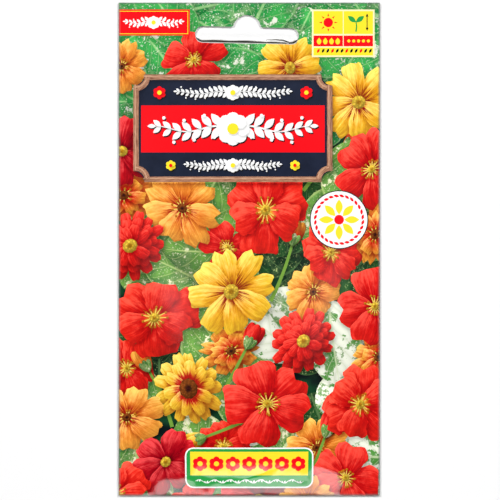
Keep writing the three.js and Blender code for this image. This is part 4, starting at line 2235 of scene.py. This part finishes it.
@dataclass
class PlainFace:
    """A web's unprinted face: points, triangles, and the twin of each point on the print's rim."""

    points: Array
    triangles: Array
    twin: dict[int, int]


@dataclass
class Web:
    """One web of the packet: a printed face, an unprinted face, and cut edges."""

    name: str
    node: str
    form: WebForm
    side: Side
    thickness: float = 0.125 * MM
    spacing: float = 1.0
    plain_spacing: float = 1.6
    merged: float = 1e-5

    def build(self, plan: Plan) -> Object:
        """Builds the web.

        Args:
            plan: What is printed on it.

        Returns:
            The finished piece, riding on the packet.
        """
        creases = self._creases()
        flat = plan.cut(self.spacing, creases)
        rings = flat.rings()
        plain = self._plain_face(flat, rings, creases)
        piece = self._assemble(plan, flat, rings, plain)
        sizes = {words: getattr(self.form, name) for name, words in self.form.words().items()}
        lift_tree(self.form).apply(piece, sizes, BarePaper().material())
        self._set_normals(piece.data, len(flat.triangles), len(plain.triangles))
        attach(piece, "root")
        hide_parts(self.node)
        return piece

    def _creases(self) -> list[Array]:
        """Divides the line round the pocket along which the web is folded.

        Returns:
            The line's points, in millimetres.
        """
        form = self.form
        half, foot, head = form.half / MM, form.foot / MM, form.head / MM
        corners = box_outline(-half, foot, half, head)
        lines = []
        for start, end in zip(corners, np.roll(corners, -1, axis=0)):
            steps = max(2, round(np.abs(end - start).max() / self.spacing))
            share = np.linspace(0, 1, steps + 1)[:-1, None]
            lines.append(start + (end - start) * share)
        ring = np.concatenate(lines)
        return [np.concatenate((ring, ring[:1] + (0.0, 1e-3)))]

    def _plain_face(
        self, flat: FlatPrint, rings: list[list[int]], creases: list[Array]
    ) -> PlainFace:
        """Cuts the unprinted face into larger triangles that share the print's rings.

        Args:
            flat: The printed face.
            rings: The runs of edges round it, the packet's edge first.
            creases: Lines that some triangles' edges follow.

        Returns:
            The unprinted face.
        """
        edge = [flat.points[ring] for ring in rings]
        low, high = edge[0].min(axis=0), edge[0].max(axis=0)
        steps = np.maximum(((high - low) / self.plain_spacing).astype(int), 2)
        xs, ys = (np.linspace(low[i], high[i], steps[i] + 1)[1:-1] for i in (0, 1))
        grid = np.stack(np.meshgrid(xs, ys), -1).reshape(-1, 2)
        order = [index for ring in rings for index in ring]
        outer = list(range(len(rings[0])))
        hole = list(range(len(rings[0]), len(order)))[::-1]
        lines = line_edges(creases, len(order))
        flats = [Vector(point) for point in np.concatenate(edge + creases + [grid])]
        made = delaunay_2d_cdt(flats, lines, [outer, hole], 1, self.merged, True)
        twin = {
            order[source]: number
            for number, sources in enumerate(made[3])
            for source in sources if source < len(order)
        }
        triangles = [triangle for triangle, owner in zip(made[2], made[5]) if 1 not in owner]
        return PlainFace(np.array([tuple(p) for p in made[0]]), np.array(triangles), twin)

    def _assemble(
        self, plan: Plan, flat: FlatPrint, rings: list[list[int]], plain: PlainFace
    ) -> Object:
        """Makes the flat, closed mesh with its inks and attributes.

        Args:
            plan: What is printed.
            flat: The printed face.
            rings: The runs of edges round it.
            plain: The unprinted face.

        Returns:
            The flat piece.
        """
        printed = len(flat.points)
        points = np.zeros((printed + len(plain.points), 3))
        points[:, :2] = np.concatenate((flat.points, plain.points)) * MM
        points[:printed, 2] = self.thickness
        if self.side is Side.LOWER:
            points[:, 0] *= -1
            points[:, 2] = self.thickness - points[:, 2]
        walls = []
        for ring in rings:
            for start, end in zip(ring, ring[1:] + ring[:1]):
                under, next_under = plain.twin[start] + printed, plain.twin[end] + printed
                walls += [(under, next_under, end), (under, end, start)]
        faces = np.concatenate((flat.triangles, plain.triangles[:, ::-1] + printed, walls))
        mesh = bpy.data.meshes.new(self.name)
        mesh.from_pydata(points.tolist(), [], faces.tolist())
        inks = list(dict.fromkeys(shape.ink for shape in plan.shapes))
        for ink in inks:
            mesh.materials.append(ink.value.material())
        of_shape = np.array([inks.index(shape.ink) for shape in plan.shapes])
        material = np.zeros(len(faces), np.int32)
        material[: len(flat.triangles)] = of_shape[flat.shape_of]
        mesh.polygons.foreach_set("material_index", material)
        bare = np.arange(len(faces)) >= len(flat.triangles)
        mesh.attributes.new(CORE, "BOOLEAN", "FACE").data.foreach_set("value", bare)
        places = np.zeros((3 * len(faces), 2), np.float32)
        places[: len(flat.place)] = flat.place
        mesh.uv_layers.new(name=PRINT_MAP).data.foreach_set("uv", places.ravel())
        tones = np.ones((3 * len(faces), 4), np.float32)
        tones[: len(flat.tone)] = flat.tone
        layer = mesh.attributes.new(TONE, "FLOAT_COLOR", "CORNER")
        layer.data.foreach_set("color", tones.ravel())
        page = bake_page(flat, plain, len(walls) // 2).astype(np.float32)
        mesh.uv_layers.new(name=BAKE_MAP).data.foreach_set("uv", page.ravel())
        mesh.validate()
        return in_scene(self.name, mesh)

    def _set_normals(self, mesh: bpy.types.Mesh, printed: int, plain: int) -> None:
        """Gives both faces the smooth normals of the form, and the edges flat ones.

        Args:
            mesh: The raised mesh.
            printed: The number of its printed triangles, which come first.
            plain: The number of its unprinted ones, which come next.
        """
        points = np.array([vertex.co for vertex in mesh.vertices], float)
        x, y, _ = points.T
        height = self.form.height
        run, climb = 1.1 * MM, 1.8 * MM
        across = (height(x + run, y) - height(x - run, y)) / (2 * run)
        up = (height(x, y + climb) - height(x, y - climb)) / (2 * climb)
        smooth = np.stack((-across, -up, np.ones(len(x))), 1)
        smooth /= np.linalg.norm(smooth, axis=1, keepdims=True)
        smooth *= self.side.value
        vertex = np.array([loop.vertex_index for loop in mesh.loops])
        normals = np.repeat([tuple(face.normal) for face in mesh.polygons], 3, axis=0)
        ends = 3 * printed, 3 * (printed + plain)
        normals[: ends[0]] = smooth[vertex[: ends[0]]]
        normals[ends[0]:ends[1]] = -smooth[vertex[ends[0]:ends[1]]]
        mesh.shade_smooth()
        mesh.normals_split_custom_set(normals.tolist())


def bake_page(flat: FlatPrint, plain: PlainFace, walls: int) -> Array:
    """Lays a web's faces out side by side, and its edges in rows over them, as one map.

    Args:
        flat: The printed face.
        plain: The unprinted face.
        walls: The number of the edges' quads.

    Returns:
        Each corner's place on the map, as shares of the page.
    """
    page, lane, middle, shrunk = 168.0, (84.0, 0.0), np.array((41.0, 76.5)), 0.98
    front = flat.points[flat.triangles].reshape(-1, 2) + middle
    back = plain.points[plain.triangles[:, ::-1]].reshape(-1, 2) * shrunk + middle + lane
    corner, pitch, in_row = np.array((1.0, 154.5)), np.array((0.41, 1.2)), 400
    row, column = np.divmod(np.arange(walls), in_row)
    corners = (corner + pitch * np.stack((column, row), 1))[:, None]
    quad = box_outline(0.0, 0.0, 0.36, 0.9)[[0, 1, 2, 0, 2, 3]]
    return np.concatenate((front, back, (corners + quad).reshape(-1, 2))) / page


# ---- seeds


@dataclass
class Seeds:
    """The seeds in the foot of the pocket: ribbed, wrinkled and corky."""

    length: float = 7.2 * MM
    width: float = 6.3 * MM
    thickness: float = 5.2 * MM
    ribs: float = 9.0
    rib_depth: float = 0.24 * MM
    wrinkle: float = 0.1 * MM
    creases: float = 5000.0
    taper: float = 0.12
    segments: int = 72
    rings: int = 36

    def build(self) -> list[Object]:
        """Builds every seed where its node is."""
        tree = self._tree()
        return [self._seed(tree, number, spot) for number, spot in enumerate(SEED_SPOTS)]

    def _sizes(self, phase: float = 0.0, turn: float = 0.0) -> dict[str, float]:
        """The sizes of one seed.

        Args:
            phase: Where its ribs start, in radians.
            turn: Its turn on the table, in radians.

        Returns:
            The sizes, by the names that the tree has for them.
        """
        return {
            "Length": self.length, "Width": self.width, "Thickness": self.thickness,
            "Ribs": self.ribs, "Rib depth": self.rib_depth, "Wrinkle": self.wrinkle,
            "Taper": self.taper, "Phase": phase, "Turn": turn,
        }

    def _tree(self) -> ShapeTree:
        """Builds the tree that shapes one seed.

        Returns:
            The tree, which makes its own ball and needs no mesh.
        """
        made = ShapeTree("corky seed", self._sizes())
        given = made.given
        ball = {"Segments": self.segments, "Rings": self.rings}
        side, height, along = components(made.place)
        girth = (side * side + height * height) ** 0.5
        round_it = maths("ARCTAN2", side, height)
        half_long, half_thick = given["Length"] * 0.5, given["Thickness"] * 0.5
        rib = round_it * given["Ribs"] + given["Phase"] + math.pi / 2
        ribbed = (sine(rib) - 1.0) * given["Rib depth"]
        crease = sine(along * half_long * self.creases + round_it * 3.0 + given["Phase"])
        pits = (noise(made.place, 7.0, 4.0, 0.6) - 0.5) * given["Wrinkle"] * 2.0
        coat = ribbed + crease * given["Wrinkle"] + pits
        slim = (1.0 - along * given["Taper"]) * (1.0 + coat * girth / half_thick)
        shaped = added(made.tree, "GeometryNodeSetPosition", {
            "Geometry": added(made.tree, "GeometryNodeMeshUVSphere", ball, "Mesh"),
            "Position": vector_of(
                along * half_long, height * given["Width"] * 0.5 * slim, side * half_thick * slim
            ),
        })
        made.close(added(made.tree, "GeometryNodeTransform", {
            "Geometry": shaped, "Rotation": vector_of(0.0, 0.0, given["Turn"]),
        }))
        return made

    def _seed(self, tree: ShapeTree, number: int, spot: SeedSpot) -> Object:
        """Builds one seed in the place of its node.

        Args:
            tree: The tree that shapes it.
            number: How many seeds come before it.
            spot: Where it lies.

        Returns:
            The seed.
        """
        node = f"seed_{number + 1}"
        piece = in_scene(f"{node}_kernel", bpy.data.meshes.new(node))
        sizes = self._sizes(float(number), math.radians(spot.turn))
        tree.apply(piece, sizes, CorkySkin().material())
        corners = np.array([vertex.co for vertex in piece.data.vertices])
        middle = (corners.min(axis=0) + corners.max(axis=0)) / 2
        aim = np.mean(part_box(node), axis=0)
        piece.data.transform(Matrix.Translation(Vector(aim - middle)))
        piece.data.shade_smooth()
        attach(piece, "root")
        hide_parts(node)
        return piece


# ---- studio


@dataclass(frozen=True)
class SoftBox:
    """A rectangular lamp that faces the packet: angles in degrees, sizes in metres, and watts."""

    name: str
    azimuth: float
    elevation: float
    distance: float
    width: float
    height: float
    power: float

    def hang(self) -> None:
        """Hangs the lamp."""
        light = bpy.data.lights.new(self.name, "AREA")
        light.shape = "RECTANGLE"
        light.size, light.size_y, light.energy = self.width, self.height, self.power
        turn, tilt = math.radians(self.azimuth), math.radians(self.elevation)
        flat = math.cos(tilt)
        way = Vector((math.cos(turn) * flat, math.sin(turn) * flat, math.sin(tilt)))
        lamp = in_scene(self.name, light)
        lamp.location = way * self.distance
        lamp.rotation_euler = way.to_track_quat("Z", "Y").to_euler()


@dataclass
class Studio:
    """The pale floor, the soft lights, and the camera that looks straight down."""

    floor_size: float = 3.0
    lens: float = 200.0
    film: float = 36.0
    frame_width: float = 153.13 * MM
    margin_top: float = 1.06 * MM
    middle: Point = (0.24 * MM, -0.27 * MM)
    lamps: tuple[SoftBox, ...] = (
        SoftBox("head_left", 135, 58, 1.1, 0.42, 0.42, 8.45),
        SoftBox("head_right", 45, 58, 1.1, 0.42, 0.42, 8.45),
        SoftBox("foot_strip", 272, 21, 0.9, 0.65, 0.34, 4.8),
    )

    def build(self) -> None:
        """Builds everything round the packet."""
        self._floor()
        for lamp in self.lamps:
            lamp.hang()
        self._room()
        self._camera()

    def _floor(self) -> None:
        """Lays the floor."""
        half = self.floor_size / 2
        mesh = bpy.data.meshes.new("floor")
        corners = [(-half, -half, 0), (half, -half, 0), (half, half, 0), (-half, half, 0)]
        mesh.from_pydata(corners, [], [(0, 1, 2, 3)])
        mesh.materials.append(StudioFloor().material())
        in_scene("floor", mesh)

    def _room(self) -> None:
        """Sets the room's own light, which is dimmer from above."""
        room = bpy.data.worlds.new("room")
        room.use_nodes = True
        tree = room.node_tree
        _, _, up = components(added(tree, "ShaderNodeTexCoord", {}, "Generated"))
        level = 1.5 - ramp(up, 0.2, 0.75) * 1.46
        plug(tree.nodes["Background"].inputs["Strength"], level)
        bpy.context.scene.world = room
        bpy.context.scene.view_settings.view_transform = "Standard"

    def _camera(self) -> None:
        """Sets the camera over the packet."""
        data = bpy.data.cameras.new("camera")
        data.lens = self.lens
        data.sensor_width = self.film
        data.clip_start = 0.01
        data.clip_end = 20.0
        camera = in_scene("camera", data)
        distance = self.lens * self.frame_width / self.film
        camera.location = (*self.middle, self.margin_top + distance)
        bpy.context.scene.camera = camera


# ---- packet


@dataclass
class Packet:
    """The whole packet."""

    slot: HangSlot = HangSlot()

    def build(self, frame: dict) -> None:
        """Builds and dresses every piece.
        """
        front = Web("printed_front", "front_panel", FrontForm(), Side.UPPER)
        report(front.build(FrontPrint(self.slot).plan))
        back = Web("printed_back", "back_panel", BackForm(), Side.LOWER, spacing=2.0)
        report(back.build(BackPrint(self.slot.outline() * (-1.0, 1.0)).plan))
        for seed in Seeds().build():
            report(seed)
        bond = frame["nodes"]["seal_adhesive"]
        for holder in bond.material_slots:
            holder.material = BondFilm().material()
        report(bond)


def report(piece: Object) -> None:
    """Logs a finished piece and its number of faces."""
    LOG.info("%s: %d faces", piece.name, len(piece.data.polygons))


def main() -> None:
    """Builds the packet in its frame, and the studio round it."""
    logging.basicConfig(level=logging.INFO, format="%(name)s %(message)s")
    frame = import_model()
    Packet().build(frame)
    Studio().build()


if __name__ == "__main__":
    main()
